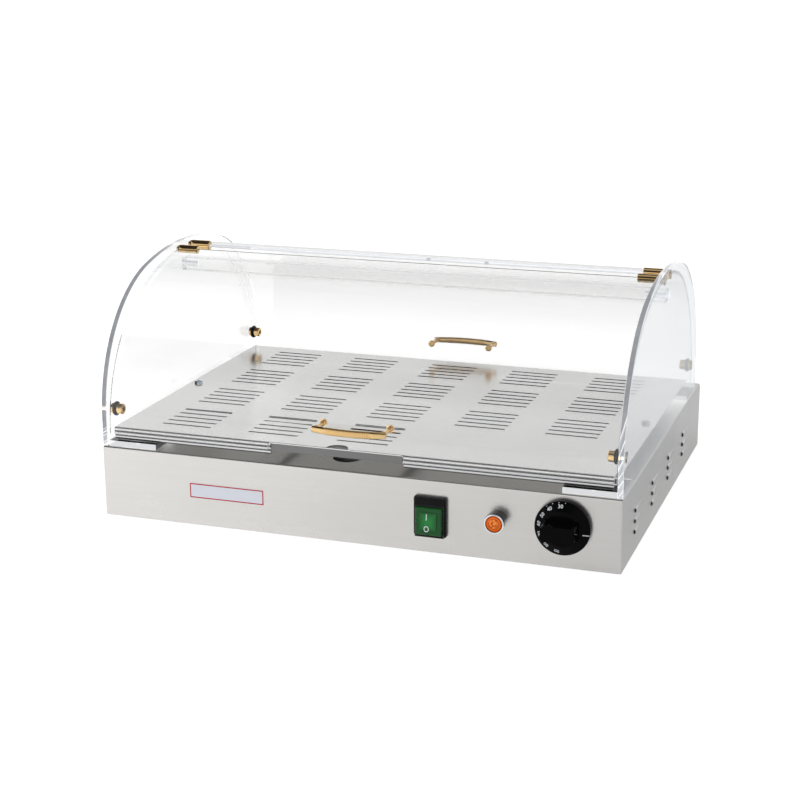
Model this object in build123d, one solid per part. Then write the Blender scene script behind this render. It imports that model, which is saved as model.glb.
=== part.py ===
from build123d import *
import os
from math import asin, cos, pi, sin, sqrt

# Countertop heated display case, in millimetres.
# X runs to the right, Y to the back and Z up. The origin is on the table under the middle of the base.

# How far a cutting shape reaches past what it cuts
over = 1.0

# Base housing
case_width = 500.0
case_depth = 400.0
base_height = 68.5
foot_proud = 1.5
sheet = 1.2
fold_radius = 2.0
rear_fold_radius = 6.0
window_side_margin = 50.0
window_front_margin = 37.0
window_rear_margin = 70.0
window_corner = 8.0
finger_recess_radius = 13.5

# Side louvres, pressed outwards and open at the front
louvre_columns = 4
louvre_rows = 3
louvre_first_y = -145.0
louvre_pitch_y = 80.0
louvre_first_z = 20.0
louvre_pitch_z = 10.2
louvre_length = 38.0
louvre_proud = 1.8
louvre_skin = 0.6
louvre_tip = 0.4

# Bottom plate, its screws and the feet
flange_width = 14.0
plate_recess = 0.3
plate_gap = 0.6
plate_thickness = 1.2
vent_length = 60.0
vent_width = 4.0
vent_count = 6
vent_pitch = 14.0
vent_spread = 110.0
foot_radius = 11.0
foot_inset = 34.0
foot_stem_radius = 4.0
foot_stem_length = 3.0
plate_screw_radius = 1.75
plate_screw_head_radius = 3.6
plate_screw_head_height = 1.0
plate_screw_length = 8.0
plate_screw_inset = 8.5
plate_screw_edge = 0.4

# Perforated tray
tray_side_margin = 10.0
tray_front_margin = 8.0
tray_rear_margin = 58.0
tray_rise = 17.2
tray_thickness = 1.5
trim_depth = 2.7
trim_height = 11.3
trim_ribs = 3
trim_rib_depth = 0.9
trim_corner = 3.0
slot_length = 49.0
slot_width = 2.0
slot_pitch = 12.2
slots_in_group = 5
slot_columns = 5
slot_rows = 4
front_row_columns = 3
slot_side_border = 38.5
row_pitch = 79.25
first_slot_setback = 26.5
finger_notch_radius = 10.5

# Rails and screws under the tray
rail_inset = 16.0
rail_flange = 12.0
rail_front = -140.0
rail_rear = 115.0
rail_sheet = 1.2
tray_screw_inset = 9.0
tray_screw_y = -25.0
tray_screw_radius = 2.0
tray_screw_length = 10.0
tray_head_radius = 4.2
tray_head_height = 2.6
hex_socket_radius = 1.6
hex_socket_depth = 1.4
tray_head_round = 1.56

# Water pan and its runners
pan_centre_x = -16.0
pan_notch_width = 129.0
pan_bar_gap = 0.8
pan_body_narrower = 3.4
pan_length = 220.0
pan_floor_drop = 7.4
pan_sheet = 1.0
pan_slide_gap = 0.3
pan_bar_depth = 2.7
pan_bar_corner = 2.0
pan_setback = 0.5
runner_sheet = 1.0
runner_shelf = 6.0
runner_length = 215.0
runner_drop = 0.2
runner_side_gap = 0.4

# Side panels
panel_thickness = 5.0
panel_inset = 0.5
arch_centre_y = -17.0
panel_half_depth = 182.0
panel_height = 166.0
panel_spring_height = 26.5
panel_crown_radius = 330.0
panel_edge_chamfer = 0.4
foot_plate_width = 49.0
foot_plate_depth = 40.0
foot_plate_thickness = 5.0
foot_plate_setback = 2.5
foot_screw_radius = 2.0
foot_screw_depth = 4.0
foot_screw_head_radius = 3.8
foot_screw_head_height = 2.0

# Doors
door_thickness = 3.0
door_side_gap = 1.5
front_door_half_depth = 179.5
rear_door_half_depth = 169.5
door_lift = 11.5
door_crown_radius = 250.0
relief_height = 6.5
relief_extra = 1.0
relief_corner = 2.0

# Hinges
hinge_half_spacing = 14.0
hinge_height = 157.5
barrel_radius = 5.0
barrel_length = 20.0
barrel_chamfer = 0.6
spigot_radius = 2.5
spigot_clearance = 0.05
bush_wall = 1.0
bush_flange_radius = 4.6
bush_flange_thickness = 0.8
bush_gap = 0.4
slot_clearance = 0.05
slot_past_axis = 1.5
sheet_past_axis = 1.0
clamp_radius = 1.5
clamp_clearance = 0.05
clamp_spacing = 11.0
clamp_socket_radius = 0.8
clamp_socket_depth = 1.0
clamp_recess = 0.3
clamp_offset = 1.6
clamp_foot = 0.4

# Cross bar
bar_height_above_base = 140.5
bar_width = 15.0
bar_thickness = 12.0
bar_screw_radius = 2.5
bar_screw_depth = 15.5
bar_head_radius = 4.6
bar_head_height = 1.2
bar_end_gap = 0.05
bar_head_round = 0.72
bar_slot_width = 1.0
bar_slot_depth = 0.6

# Door bumpers
bumper_height = 33.5
bumper_shank_radius = 2.0
bumper_spacer_radius = 5.0
bumper_spacer_length = 2.1
bumper_neck_radius = 3.0
ring_section_radius = 1.9
ring_fit = 0.05
bumper_head_radius = 5.0
bumper_head_length = 5.4
bumper_socket_radius = 2.7
bumper_socket_depth = 3.0
bumper_edge = 0.6
ring_door_gap = 0.3

# Handles
handle_spacing = 64.0
front_handle_x = 3.3
rear_handle_x = -1.5
handle_leg_radius = 3.4
handle_leg_tip_radius = 2.7
handle_stand_off = 17.0
handle_bow = 5.0
handle_overhang = 2.0
bow_half_height = 3.7
bow_half_depth = 2.4
front_handle_height = 40.4
rear_handle_height = 34.3
handle_screw_radius = 2.0
handle_screw_depth = 9.0
handle_head_radius = 3.6
handle_head_height = 2.4
handle_head_round = 1.2
screw_hole_clearance = 0.1

# Rocker switch
switch_from_right = 173.0
switch_height = 34.7
bezel_width = 31.0
bezel_height = 38.0
bezel_thickness = 2.5
bezel_corner = 3.0
collar_proud = 3.5
collar_wall = 1.6
rocker_width = 24.4
rocker_height = 25.2
rocker_drop = 3.6
rocker_proud = 9.5
rocker_side_gap = 0.5
rocker_end_gap = 1.4
rocker_edge = 1.2
rocker_rest_tilt = 5.0
rocker_depth = 8.0
rocker_lift = 1.5
rocker_stem_gap = 2.5
rocker_pivot_depth = 3.0
rocker_pin_radius = 1.2
rocker_pin_clearance = 0.05
rocker_pin_length = 2.5
lens_border = 4.0
lens_proud = 0.5
lens_edge = 0.4
lens_sink = 1.0
lens_fit = 0.05
switch_body_width = 25.0
switch_body_height = 31.0
switch_body_depth = 24.0
blade_width = 6.3
blade_thickness = 0.8
blade_length = 8.0

# Pilot lamp
lamp_from_right = 111.6
lamp_height = 37.7
lamp_radius = 9.5
lamp_proud = 12.0
lamp_rim = 1.2
lamp_roll = 0.4
lamp_wall = 1.7
lamp_floor = 2.0
lamp_shank_radius = 6.0
lamp_shank_length = 24.0
lamp_dome = 2.2
lamp_dome_reach = 0.55
lamp_dome_share = 0.72
lamp_flange = 2.0
lamp_fit = 0.1
lamp_nut_radius = 9.8
lamp_nut_thickness = 4.0

# Thermostat and its knob
knob_from_right = 51.7
knob_height = 38.5
knob_radius = 25.0
knob_wall_gap = 0.6
knob_skirt = 4.5
knob_face = 9.5
knob_face_radius = 15.0
knob_hollow_depth = 4.0
knob_hollow_wall = 2.2
knob_hollow_taper = 1.0
knob_face_round = 1.5
knob_face_fall = 0.6
grip_length = 33.0
grip_width = 19.0
grip_taper = 2.5
grip_top = 24.0
grip_edge = 1.6
shaft_radius = 3.0
shaft_clearance = 0.05
shaft_hole_clearance = 1.0
shaft_in_knob = 14.0
shaft_flat_height = 1.65
shaft_in_body = 14.0
thermostat_width = 34.0
thermostat_depth = 26.0
thermostat_corner = 4.0
thermostat_screw_bite = 5.0
thermostat_screw_spare = 1.0
thermostat_screw_spacing = 28.0
thermostat_screw_radius = 2.0
thermostat_head_radius = 3.5
thermostat_head_height = 1.8
capillary_radius = 0.9
capillary_bend = 8.0
bulb_radius = 3.0
bulb_length = 70.0
bulb_y = -138.0
bulb_drop = 20.0

# Heater
element_radius = 4.0
element_drop = 24.0
element_runs = 4
element_run_pitch = 68.0
element_half_run = 130.0
element_front_y = -102.0
seal_radius = 5.5
seal_length = 12.0
seal_shoulder = 1.0
strap_x = 95.0
strap_width = 14.0
strap_thickness = 1.5
strap_post = 6.0
reflector_depth = 38.0
reflector_sheet = 1.0
reflector_margin = 4.0
reflector_flange = 8.0

# Mains entry
gland_from_right = 45.0
gland_height = 30.0
gland_thread_radius = 8.0
gland_hex_radius = 12.5
gland_hex_length = 5.0
gland_neck_length = 8.0
gland_nut_length = 17.0
gland_nut_nose_radius = 7.5
gland_nut_hex_share = 0.6
gland_nut_shoulder_radius = 10.75
gland_thread_inside = 8.0
gland_nut_spare = 0.2
gland_bore_radius = 4.0
gland_seal_radius = 6.0
locknut_radius = 12.0
locknut_thickness = 4.0
terminal_length = 32.0
terminal_width = 18.0
terminal_height = 16.0
terminal_poles = 3
terminal_well_radius = 2.5
terminal_well_depth = 4.0
terminal_from_right = 32.0
terminal_y = 118.0

# Levels and planes that several pieces share
right_x = case_width / 2
front_y = -case_depth / 2
rear_y = case_depth / 2
window_width = case_width - 2 * window_side_margin
window_front = front_y + window_front_margin
window_rear = rear_y - window_rear_margin
tray_width = case_width - 2 * tray_side_margin
tray_front = front_y + tray_front_margin
tray_rear = rear_y - tray_rear_margin
column_pitch = (tray_width - 2 * slot_side_border - slot_length) / (slot_columns - 1)
first_slot_y = tray_front + first_slot_setback
switch_x = right_x - switch_from_right
lamp_x = right_x - lamp_from_right
knob_x = right_x - knob_from_right
gland_x = right_x - gland_from_right
terminal_x = right_x - terminal_from_right
base_top = foot_proud + base_height
deck_underside = base_top - sheet
tray_top = base_top + tray_rise
tray_underside = tray_top - tray_thickness
panel_outer_x = case_width / 2 - panel_inset
panel_inner_x = panel_outer_x - panel_thickness
door_half_width = panel_inner_x - door_side_gap
hinge_z = base_top + hinge_height
door_bottom = base_top + door_lift
bar_z = base_top + bar_height_above_base
bumper_z = base_top + bumper_height
trim_bottom = tray_top - trim_height
pan_bottom = tray_top - pan_floor_drop
tray_edge_y = tray_front + trim_depth
plate_bottom = foot_proud + plate_recess
plate_top = plate_bottom + plate_thickness
wall_inner_front = front_y + sheet
wall_inner_rear = rear_y - sheet


def box(x0, x1, y0, y1, z0, z1):
    """A block between two corners."""
    size = Box(x1 - x0, y1 - y0, z1 - z0)
    return Pos((x0 + x1) / 2, (y0 + y1) / 2, (z0 + z1) / 2) * size


def rod(radius, start, end, axis):
    """A cylinder along one axis between two coordinates on it; start holds the other two coordinates."""
    length = abs(end - start["xyz".index(axis)])
    low = min(end, start["xyz".index(axis)])
    turn = {"x": Rot(0, 90, 0), "y": Rot(-90, 0, 0), "z": Rot(0, 0, 0)}[axis]
    place = list(start)
    place["xyz".index(axis)] = low
    return Pos(*place) * turn * Cylinder(radius, length, align=(Align.CENTER, Align.CENTER, Align.MIN))


def hex_rod(radius, start, end, axis):
    """A hexagonal bar along one axis, measured to its corners."""
    length = abs(end - start["xyz".index(axis)])
    low = min(end, start["xyz".index(axis)])
    turn = {"x": Rot(0, 90, 0), "y": Rot(-90, 0, 0), "z": Rot(0, 0, 0)}[axis]
    place = list(start)
    place["xyz".index(axis)] = low
    return Pos(*place) * turn * extrude(RegularPolygon(radius, 6), amount=length)


def solids_of(*shapes):
    """Every separate solid of the shapes, as one flat list."""
    return [solid for shape in shapes for solid in shape.solids()]


def to_rear(shape):
    """The same shape on the other side of the arch's middle plane."""
    return mirror(shape, about=Plane(origin=(0, arch_centre_y, 0), z_dir=(0, 1, 0)))


def to_left(shape):
    """The same shape on the other side of the case's middle plane."""
    return mirror(shape, about=Plane.YZ)


class Arch:
    """Upright sides that turn through a shoulder arc into a crown arc, about the arch's middle plane."""

    def __init__(self, half_depth, spring, crown_z, crown_radius):
        rise = spring - crown_z
        self.half_depth = half_depth
        self.spring = spring
        self.crown_z = crown_z
        self.crown_radius = crown_radius
        self.shoulder_radius = (crown_radius**2 - half_depth**2 - rise**2) / (2 * (crown_radius - half_depth))
        self.shoulder_reach = half_depth - self.shoulder_radius
        self.turn = asin(rise / (crown_radius - self.shoulder_radius))

    def shoulder(self, angle, inset=0.0):
        """A point of the shoulder, at an angle up from level, as reach from the middle plane and height."""
        radius = self.shoulder_radius - inset
        return self.shoulder_reach + radius * cos(angle), self.spring + radius * sin(angle)

    def crown(self, angle, inset=0.0):
        """A point of the crown, at an angle up from level."""
        radius = self.crown_radius - inset
        return radius * cos(angle), self.crown_z + radius * sin(angle)

    def crown_angle(self, reach, inset=0.0):
        """The angle at which the crown is this far from the middle plane."""
        return pi / 2 - asin(reach / (self.crown_radius - inset))

    def reach(self, z, inset=0.0):
        """How far the shoulder stands from the middle plane at a height."""
        radius = self.shoulder_radius - inset
        if z <= self.spring:
            return self.half_depth - inset
        return self.shoulder_reach + sqrt(radius**2 - (z - self.spring) ** 2)


def panel_arch():
    crown_z = base_top + panel_height - panel_crown_radius
    return Arch(panel_half_depth, base_top + panel_spring_height, crown_z, panel_crown_radius)


def door_arch(half_depth):
    middle_radius = door_crown_radius - door_thickness / 2
    crown_z = hinge_z - sqrt(middle_radius**2 - hinge_half_spacing**2)
    return Arch(half_depth, door_bottom, crown_z, door_crown_radius)


def at_front(point):
    """A reach and height on the front half of the arch, in the YZ plane's own coordinates."""
    return arch_centre_y - point[0], point[1]


def at_back(point):
    return arch_centre_y + point[0], point[1]


def slab(face, x0, x1):
    """A face of the YZ plane given a thickness from x0 to x1."""
    return Pos(x0, 0, 0) * extrude(Plane.YZ * face, amount=x1 - x0)


def panel_face():
    """Outline of a side panel: flat foot, upright sides, shoulders and crown."""
    arch = panel_arch()
    half_turn = arch.turn / 2
    low = (arch.half_depth, base_top)
    spring = (arch.half_depth, arch.spring)
    shoulder = arch.shoulder(half_turn)
    join = arch.shoulder(arch.turn)
    top = arch.crown(pi / 2)
    edges = [
        Line(at_front(low), at_front(spring)),
        ThreePointArc(at_front(spring), at_front(shoulder), at_front(join)),
        ThreePointArc(at_front(join), at_front(top), at_back(join)),
        ThreePointArc(at_back(join), at_back(shoulder), at_back(spring)),
        Line(at_back(spring), at_back(low)),
        Line(at_back(low), at_front(low)),
    ]
    return make_face(edges)


def door_strip(arch, outer_inset, inner_inset, end_reach, bottom):
    """Section of a door's sheet between two insets, from its bottom edge to a reach near the hinge."""
    half_turn = arch.turn / 2
    end = arch.crown_angle(end_reach, (outer_inset + inner_inset) / 2)
    mid = (arch.turn + end) / 2
    edges = []
    for inset in (outer_inset, inner_inset):
        foot = (arch.half_depth - inset, bottom)
        spring = arch.shoulder(0, inset)
        if bottom < arch.spring:
            edges.append(Line(at_front(foot), at_front(spring)))
        join = at_front(arch.shoulder(arch.turn, inset))
        edges.append(ThreePointArc(at_front(spring), at_front(arch.shoulder(half_turn, inset)), join))
        edges.append(ThreePointArc(join, at_front(arch.crown(mid, inset)), at_front(arch.crown(end, inset))))
    outer_foot = (arch.half_depth - outer_inset, bottom)
    inner_foot = (arch.half_depth - inner_inset, bottom)
    edges.append(Line(at_front(outer_foot), at_front(inner_foot)))
    edges.append(Line(at_front(arch.crown(end, outer_inset)), at_front(arch.crown(end, inner_inset))))
    return make_face(edges)


def crown_sector(outer_inset, inner_inset, reach_a, reach_b):
    """A short piece of the doors' crown, used to cut what the sheet passes through."""
    arch = front_arch
    start = arch.crown_angle(abs(reach_a))
    start = start if reach_a > 0 else pi - start
    end = arch.crown_angle(reach_b)
    mid = (start + end) / 2
    corners = [at_front(arch.crown(a, i)) for i in (outer_inset, inner_inset) for a in (start, end)]
    edges = [
        ThreePointArc(corners[0], at_front(arch.crown(mid, outer_inset)), corners[1]),
        Line(corners[1], corners[3]),
        ThreePointArc(corners[3], at_front(arch.crown(mid, inner_inset)), corners[2]),
        Line(corners[2], corners[0]),
    ]
    return make_face(edges)


# Places that follow from the arches
front_arch = door_arch(front_door_half_depth)
rear_arch = door_arch(rear_door_half_depth)
hinge_front_y = arch_centre_y - hinge_half_spacing
hinge_rear_y = arch_centre_y + hinge_half_spacing
ring_radius = bumper_neck_radius + ring_fit + 2 * ring_section_radius
bumper_front_y = arch_centre_y - front_arch.reach(bumper_z, door_thickness) + ring_radius + ring_door_gap
bumper_rear_y = arch_centre_y + rear_arch.reach(bumper_z, door_thickness) - ring_radius - ring_door_gap
foot_plate_front = arch_centre_y - panel_half_depth + foot_plate_setback
switch_z = foot_proud + switch_height
rocker_z = switch_z - rocker_drop
lamp_z = foot_proud + lamp_height
knob_z = foot_proud + knob_height
gland_z = foot_proud + gland_height
element_z = base_top - element_drop


def foot_places():
    """Where the rubber feet go through the bottom plate."""
    x = case_width / 2 - foot_inset
    y = case_depth / 2 - foot_inset
    return [(sx * x, sy * y) for sx in (-1, 1) for sy in (-1, 1)]


def plate_screw_places():
    x = case_width / 2 - plate_screw_inset
    y = case_depth / 2 - plate_screw_inset
    return [(sx * x, sy * y) for sx in (-1, 0, 1) for sy in (-1, 1)]


def louvre_cone(radius, skin):
    """A louvre's cone, lying along Y with its mouth at the origin, on the plane of the wall's inner face."""
    mouth = radius - skin
    tip = louvre_tip + louvre_skin - skin
    return Rot(-90, 0, 0) * Cone(mouth, tip, louvre_length, align=(Align.CENTER, Align.CENTER, Align.MIN))


def louvre_places():
    for column in range(louvre_columns):
        for row in range(louvre_rows):
            y = louvre_first_y + column * louvre_pitch_y
            yield y, foot_proud + louvre_first_z + row * louvre_pitch_z


def louvres(skin):
    """All the louvre cones of the right wall, as one shape."""
    wall_inner_x = case_width / 2 - sheet
    radius = sheet + louvre_proud
    return Compound(children=[Pos(wall_inner_x, y, z) * louvre_cone(radius, skin) for y, z in louvre_places()])


def base_housing():
    half = case_width / 2
    shell = box(-half, half, front_y, rear_y, foot_proud, base_top)
    rear_edge = shell.edges().filter_by(Axis.X).group_by(Axis.Z)[-1].sort_by(Axis.Y)[-1]
    shell = fillet(rear_edge, rear_fold_radius)
    front_edge = shell.edges().filter_by(Axis.X).group_by(Axis.Z)[-1].sort_by(Axis.Y)[0]
    shell = fillet([front_edge] + list(shell.edges().filter_by(Axis.Z)), fold_radius)
    hollow = box(-half + sheet, half - sheet, wall_inner_front, wall_inner_rear, foot_proud, deck_underside)
    inner_radius = rear_fold_radius - sheet
    hollow_top = hollow.faces().sort_by(Axis.Z)[-1]
    hollow = fillet(hollow_top.edges().filter_by(Axis.X).sort_by(Axis.Y)[-1], inner_radius)
    shell = shell - hollow

    flange = box(-half + sheet, half - sheet, wall_inner_front, wall_inner_rear, plate_top, plate_top + sheet)
    reach = flange_width
    flange = flange - box(
        -half + reach, half - reach, front_y + reach, rear_y - reach, plate_top - over, plate_top + sheet + over
    )
    shell = shell + flange
    shell = shell + list(louvre_shells())

    cuts = [window_cut()]
    cuts += [louvres(louvre_skin), to_left(louvres(louvre_skin))]
    wall_end = wall_inner_front + over
    cuts.append(box(
        switch_x - switch_body_width / 2 - screw_hole_clearance,
        switch_x + switch_body_width / 2 + screw_hole_clearance,
        front_y - over,
        wall_end,
        switch_z - switch_body_height / 2 - screw_hole_clearance,
        switch_z + switch_body_height / 2 + screw_hole_clearance,
    ))
    cuts.append(rod(lamp_shank_radius + screw_hole_clearance, (lamp_x, front_y - over, lamp_z), wall_end, "y"))
    cuts.append(rod(shaft_radius + shaft_hole_clearance, (knob_x, front_y - over, knob_z), wall_end, "y"))
    for x in thermostat_screw_xs():
        hole = thermostat_screw_radius + screw_hole_clearance
        cuts.append(rod(hole, (x, front_y - over, knob_z), wall_end, "y"))
    gland_hole = gland_thread_radius + screw_hole_clearance
    cuts.append(rod(gland_hole, (gland_x, wall_inner_rear - over, gland_z), rear_y + over, "y"))
    for x, y in panel_foot_screw_places():
        hole = foot_screw_radius + screw_hole_clearance
        cuts.append(rod(hole, (x, y, deck_underside - over), base_top + over, "z"))
    for x, y in plate_screw_places():
        cuts.append(rod(plate_screw_radius, (x, y, plate_top - over), plate_top + sheet + over, "z"))
    for cut in cuts:
        shell = shell - cut
    return [shell]


def louvre_shells():
    """The pressed-out half of each louvre, outside the wall's inner face, on both walls."""
    keep = box(case_width / 2 - sheet, case_width, front_y, rear_y, foot_proud, base_top)
    for cone in louvres(0.0).solids():
        right = cone & keep
        yield right
        yield to_left(right)


def window_cut():
    """The heater window in the deck, with a round recess for a fingertip at its front edge."""
    depth = window_rear - window_front
    middle = (window_rear + window_front) / 2
    outline = Pos(0, middle) * RectangleRounded(window_width, depth, window_corner)
    outline = outline + Pos(pan_centre_x, window_front) * Circle(finger_recess_radius)
    return Pos(0, 0, deck_underside - over) * extrude(outline, amount=sheet + 2 * over)


def bottom_plate():
    half_x = case_width / 2 - sheet - plate_gap
    half_y = case_depth / 2 - sheet - plate_gap
    plate = box(-half_x, half_x, -half_y, half_y, plate_bottom, plate_top)
    cut_height = plate_thickness + 2 * over
    vents = []
    for side in (-1, 1):
        for i in range(vent_count):
            y = (i - (vent_count - 1) / 2) * vent_pitch
            vents.append(Pos(side * vent_spread, y) * SlotOverall(vent_length, vent_width))
    holes = [Pos(x, y) * Circle(foot_stem_radius) for x, y in foot_places()]
    holes += [Pos(x, y) * Circle(plate_screw_radius + screw_hole_clearance) for x, y in plate_screw_places()]
    for outline in vents + holes:
        plate = plate - Pos(0, 0, plate_bottom - over) * extrude(outline, amount=cut_height)
    return [plate]


def bottom_screws():
    screws = []
    for x, y in plate_screw_places():
        head = rod(plate_screw_head_radius, (x, y, plate_bottom - plate_screw_head_height), plate_bottom, "z")
        head = chamfer(head.edges().group_by(Axis.Z)[0], plate_screw_edge)
        shank = rod(plate_screw_radius, (x, y, plate_bottom), plate_bottom + plate_screw_length, "z")
        screws.append(head + shank)
    return screws


def rubber_feet():
    feet = []
    for x, y in foot_places():
        pad = rod(foot_radius, (x, y, 0), plate_bottom, "z")
        feet.append(pad + rod(foot_stem_radius, (x, y, plate_bottom), plate_bottom + foot_stem_length, "z"))
    return feet


def reflector_box():
    """Inside faces of the reflector: half width, front, rear and floor level."""
    half = window_width / 2 + reflector_margin
    front = window_front + reflector_margin
    return half, front, window_rear + reflector_margin, deck_underside - reflector_depth


def heat_reflector():
    half, front, rear, floor = reflector_box()
    t = reflector_sheet
    tray = box(-half - t, half + t, front - t, rear + t, floor - t, deck_underside)
    tray = tray - box(-half, half, front, rear, floor, deck_underside + over)
    rim = reflector_flange
    flange = box(-half - rim, half + rim, front - t, rear + rim, deck_underside - t, deck_underside)
    flange = flange - box(-half, half, front, rear, deck_underside - t - over, deck_underside + over)
    tray = tray + flange
    for y in element_ends():
        seal_hole = seal_radius - seal_shoulder + screw_hole_clearance
        tray = tray - rod(seal_hole, (half - over, y, element_z), half + t + over, "x")
    hole = capillary_radius + screw_hole_clearance
    return [tray - rod(hole, (capillary_x(), front - t - over, capillary_z()), front + over, "y")]


def element_ends():
    """Y of the heater's two tails."""
    return [element_front_y, element_front_y + (element_runs - 1) * element_run_pitch]


def element_path():
    """Straight runs along X joined by half-round bends, with both tails at the right."""
    half, front, rear, floor = reflector_box()
    bend = element_run_pitch / 2
    tail_x = half - seal_length / 2
    edges = []
    for run in range(element_runs):
        y = element_front_y + run * element_run_pitch
        start = tail_x if run == 0 else element_half_run
        end = tail_x if run == element_runs - 1 else element_half_run
        goes_left = run % 2 == 0
        a = (start, y, element_z) if goes_left else (-element_half_run, y, element_z)
        b = (-element_half_run, y, element_z) if goes_left else (end, y, element_z)
        edges.append(Line(a, b))
        if run < element_runs - 1:
            side = -1 if goes_left else 1
            x = side * element_half_run
            middle = (x + side * bend, y + bend, element_z)
            edges.append(ThreePointArc(b, middle, (x, y + element_run_pitch, element_z)))
    return Wire(edges)


def heating_element():
    path = element_path()
    section = Plane(origin=path @ 0, z_dir=path % 0) * Circle(element_radius)
    return solids_of(sweep(section, path=path))


def element_seals():
    """Ceramic end seals that pass through the reflector's wall, each with its connecting blade."""
    half, front, rear, floor = reflector_box()
    seals = []
    inner = half - seal_length / 2
    outer = half + seal_length
    for y in element_ends():
        body = rod(seal_radius - seal_shoulder, (inner, y, element_z), outer, "x")
        collar = rod(seal_radius, (half + reflector_sheet, y, element_z), half + seal_length / 2, "x")
        w = blade_width / 2
        t = blade_thickness / 2
        blade = box(outer, outer + blade_length, y - w, y + w, element_z - t, element_z + t)
        seals.append(body + collar + blade)
    return seals


def element_straps():
    """Folded straps across the heater's runs, standing on the reflector's floor."""
    half, front, rear, floor = reflector_box()
    top = element_z - element_radius
    w = strap_width / 2
    first, last = element_ends()
    straps = []
    for x in (-strap_x, strap_x):
        bar = box(x - w, x + w, first - strap_width, last + strap_width, top - strap_thickness, top)
        for y in (first - strap_width, last + strap_width - strap_thickness):
            bar = bar + box(x - w, x + w, y, y + strap_thickness, floor, top)
        for y in (first - strap_width - strap_post, last + strap_width):
            bar = bar + box(x - w, x + w, y, y + strap_post, floor, floor + strap_thickness)
        straps.append(bar)
    return straps


def slot_places():
    """Middle of every slot: groups in columns and rows, with the right of the front row left plain."""
    for row in range(slot_rows):
        columns = front_row_columns if row == 0 else slot_columns
        for column in range(columns):
            x = (column - (slot_columns - 1) / 2) * column_pitch
            for slot in range(slots_in_group):
                yield x, first_slot_y + row * row_pitch + slot * slot_pitch


def perforated_tray():
    outline = Pos(0, (tray_edge_y + tray_rear) / 2) * Rectangle(tray_width, tray_rear - tray_edge_y)
    outline = outline - Pos(pan_centre_x, tray_edge_y) * Circle(finger_notch_radius)
    holes = [Pos(x, y) * Rectangle(slot_length, slot_width) for x, y in slot_places()]
    for x in tray_screw_xs():
        holes.append(Pos(x, tray_screw_y) * Circle(tray_screw_radius + screw_hole_clearance))
    outline = outline - holes
    return solids_of(Pos(0, 0, tray_underside) * extrude(outline, amount=tray_thickness))


def tray_screw_xs():
    x = tray_width / 2 - tray_screw_inset
    return [-x, x]


def trim_face():
    """Section of the ribbed trim, in the YZ plane."""
    root = tray_front + trim_rib_depth
    pitch = trim_height / trim_ribs
    edges = [
        Line((tray_edge_y, tray_top), (tray_edge_y, trim_bottom)),
        Line((tray_edge_y, trim_bottom), (root, trim_bottom)),
    ]
    for rib in range(trim_ribs):
        low = trim_bottom + rib * pitch
        edges.append(ThreePointArc((root, low), (tray_front, low + pitch / 2), (root, low + pitch)))
    edges.append(Line((root, tray_top), (tray_edge_y, tray_top)))
    return make_face(edges)


def tray_front_trim():
    """Two lengths of trim with rounded outer corners, either side of the pan's notch."""
    half = tray_width / 2
    strip = slab(trim_face(), -half, half)
    outline = Pos(0, tray_top) * Rectangle(tray_width, 2 * trim_height)
    outline = fillet(outline.vertices().group_by(Axis.Y)[0], trim_corner)
    block = Pos(0, tray_edge_y, 0) * extrude(Plane.XZ * outline, amount=trim_depth + over)
    strip = strip & block
    x0 = pan_centre_x - pan_notch_width / 2
    x1 = pan_centre_x + pan_notch_width / 2
    notch_block = box(
        x0, x1, tray_front - over, tray_edge_y + over, trim_bottom - over, tray_top + over
    )
    return solids_of(strip - notch_block)


def tray_supports():
    """Z-shaped rails that carry the tray's sides over the deck."""
    web = tray_width / 2 - rail_inset
    t = rail_sheet
    rail = box(web - t, web, rail_front, rail_rear, base_top, tray_underside)
    rail = rail + box(web - t, web + rail_flange, rail_front, rail_rear, tray_underside - t, tray_underside)
    rail = rail + box(web - rail_flange, web, rail_front, rail_rear, base_top, base_top + t)
    hole = tray_screw_radius + screw_hole_clearance
    rail = rail - rod(hole, (tray_screw_xs()[1], tray_screw_y, tray_underside - t - over), tray_top, "z")
    return solids_of(rail, to_left(rail))


def socket_screw(x, y, z):
    """A round head screw standing on a surface at z, with a hexagon socket in its head."""
    head = rod(tray_head_radius, (x, y, z), z + tray_head_height, "z")
    head = fillet(head.edges().group_by(Axis.Z)[-1], tray_head_round)
    top = z + tray_head_height
    head = head - hex_rod(hex_socket_radius, (x, y, top - hex_socket_depth), top, "z")
    return head + rod(tray_screw_radius, (x, y, z - tray_screw_length), z, "z")


def tray_screws():
    return [socket_screw(x, tray_screw_y, tray_top) for x in tray_screw_xs()]


def pan_half_widths():
    """Half widths of the pan's front bar and of its body."""
    bar = pan_notch_width / 2 - pan_bar_gap
    return bar, bar - pan_body_narrower / 2


def water_pan():
    bar_half, body_half = pan_half_widths()
    rim = tray_underside - pan_slide_gap
    x0 = pan_centre_x - body_half
    x1 = pan_centre_x + body_half
    front = tray_edge_y - pan_setback
    back = front + pan_length
    t = pan_sheet
    pan = box(x0, x1, front, back, pan_bottom, rim)
    pan = pan - box(x0 + t, x1 - t, front + t, back - t, pan_bottom + t, rim + over)
    bar_face = Pos(pan_centre_x, (pan_bottom + tray_top) / 2) * Rectangle(2 * bar_half, tray_top - pan_bottom)
    bar_face = fillet(bar_face.vertices().group_by(Axis.Y)[0], pan_bar_corner)
    bar = Pos(0, front, 0) * extrude(Plane.XZ * bar_face, amount=pan_bar_depth)
    return solids_of(pan + bar)


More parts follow.
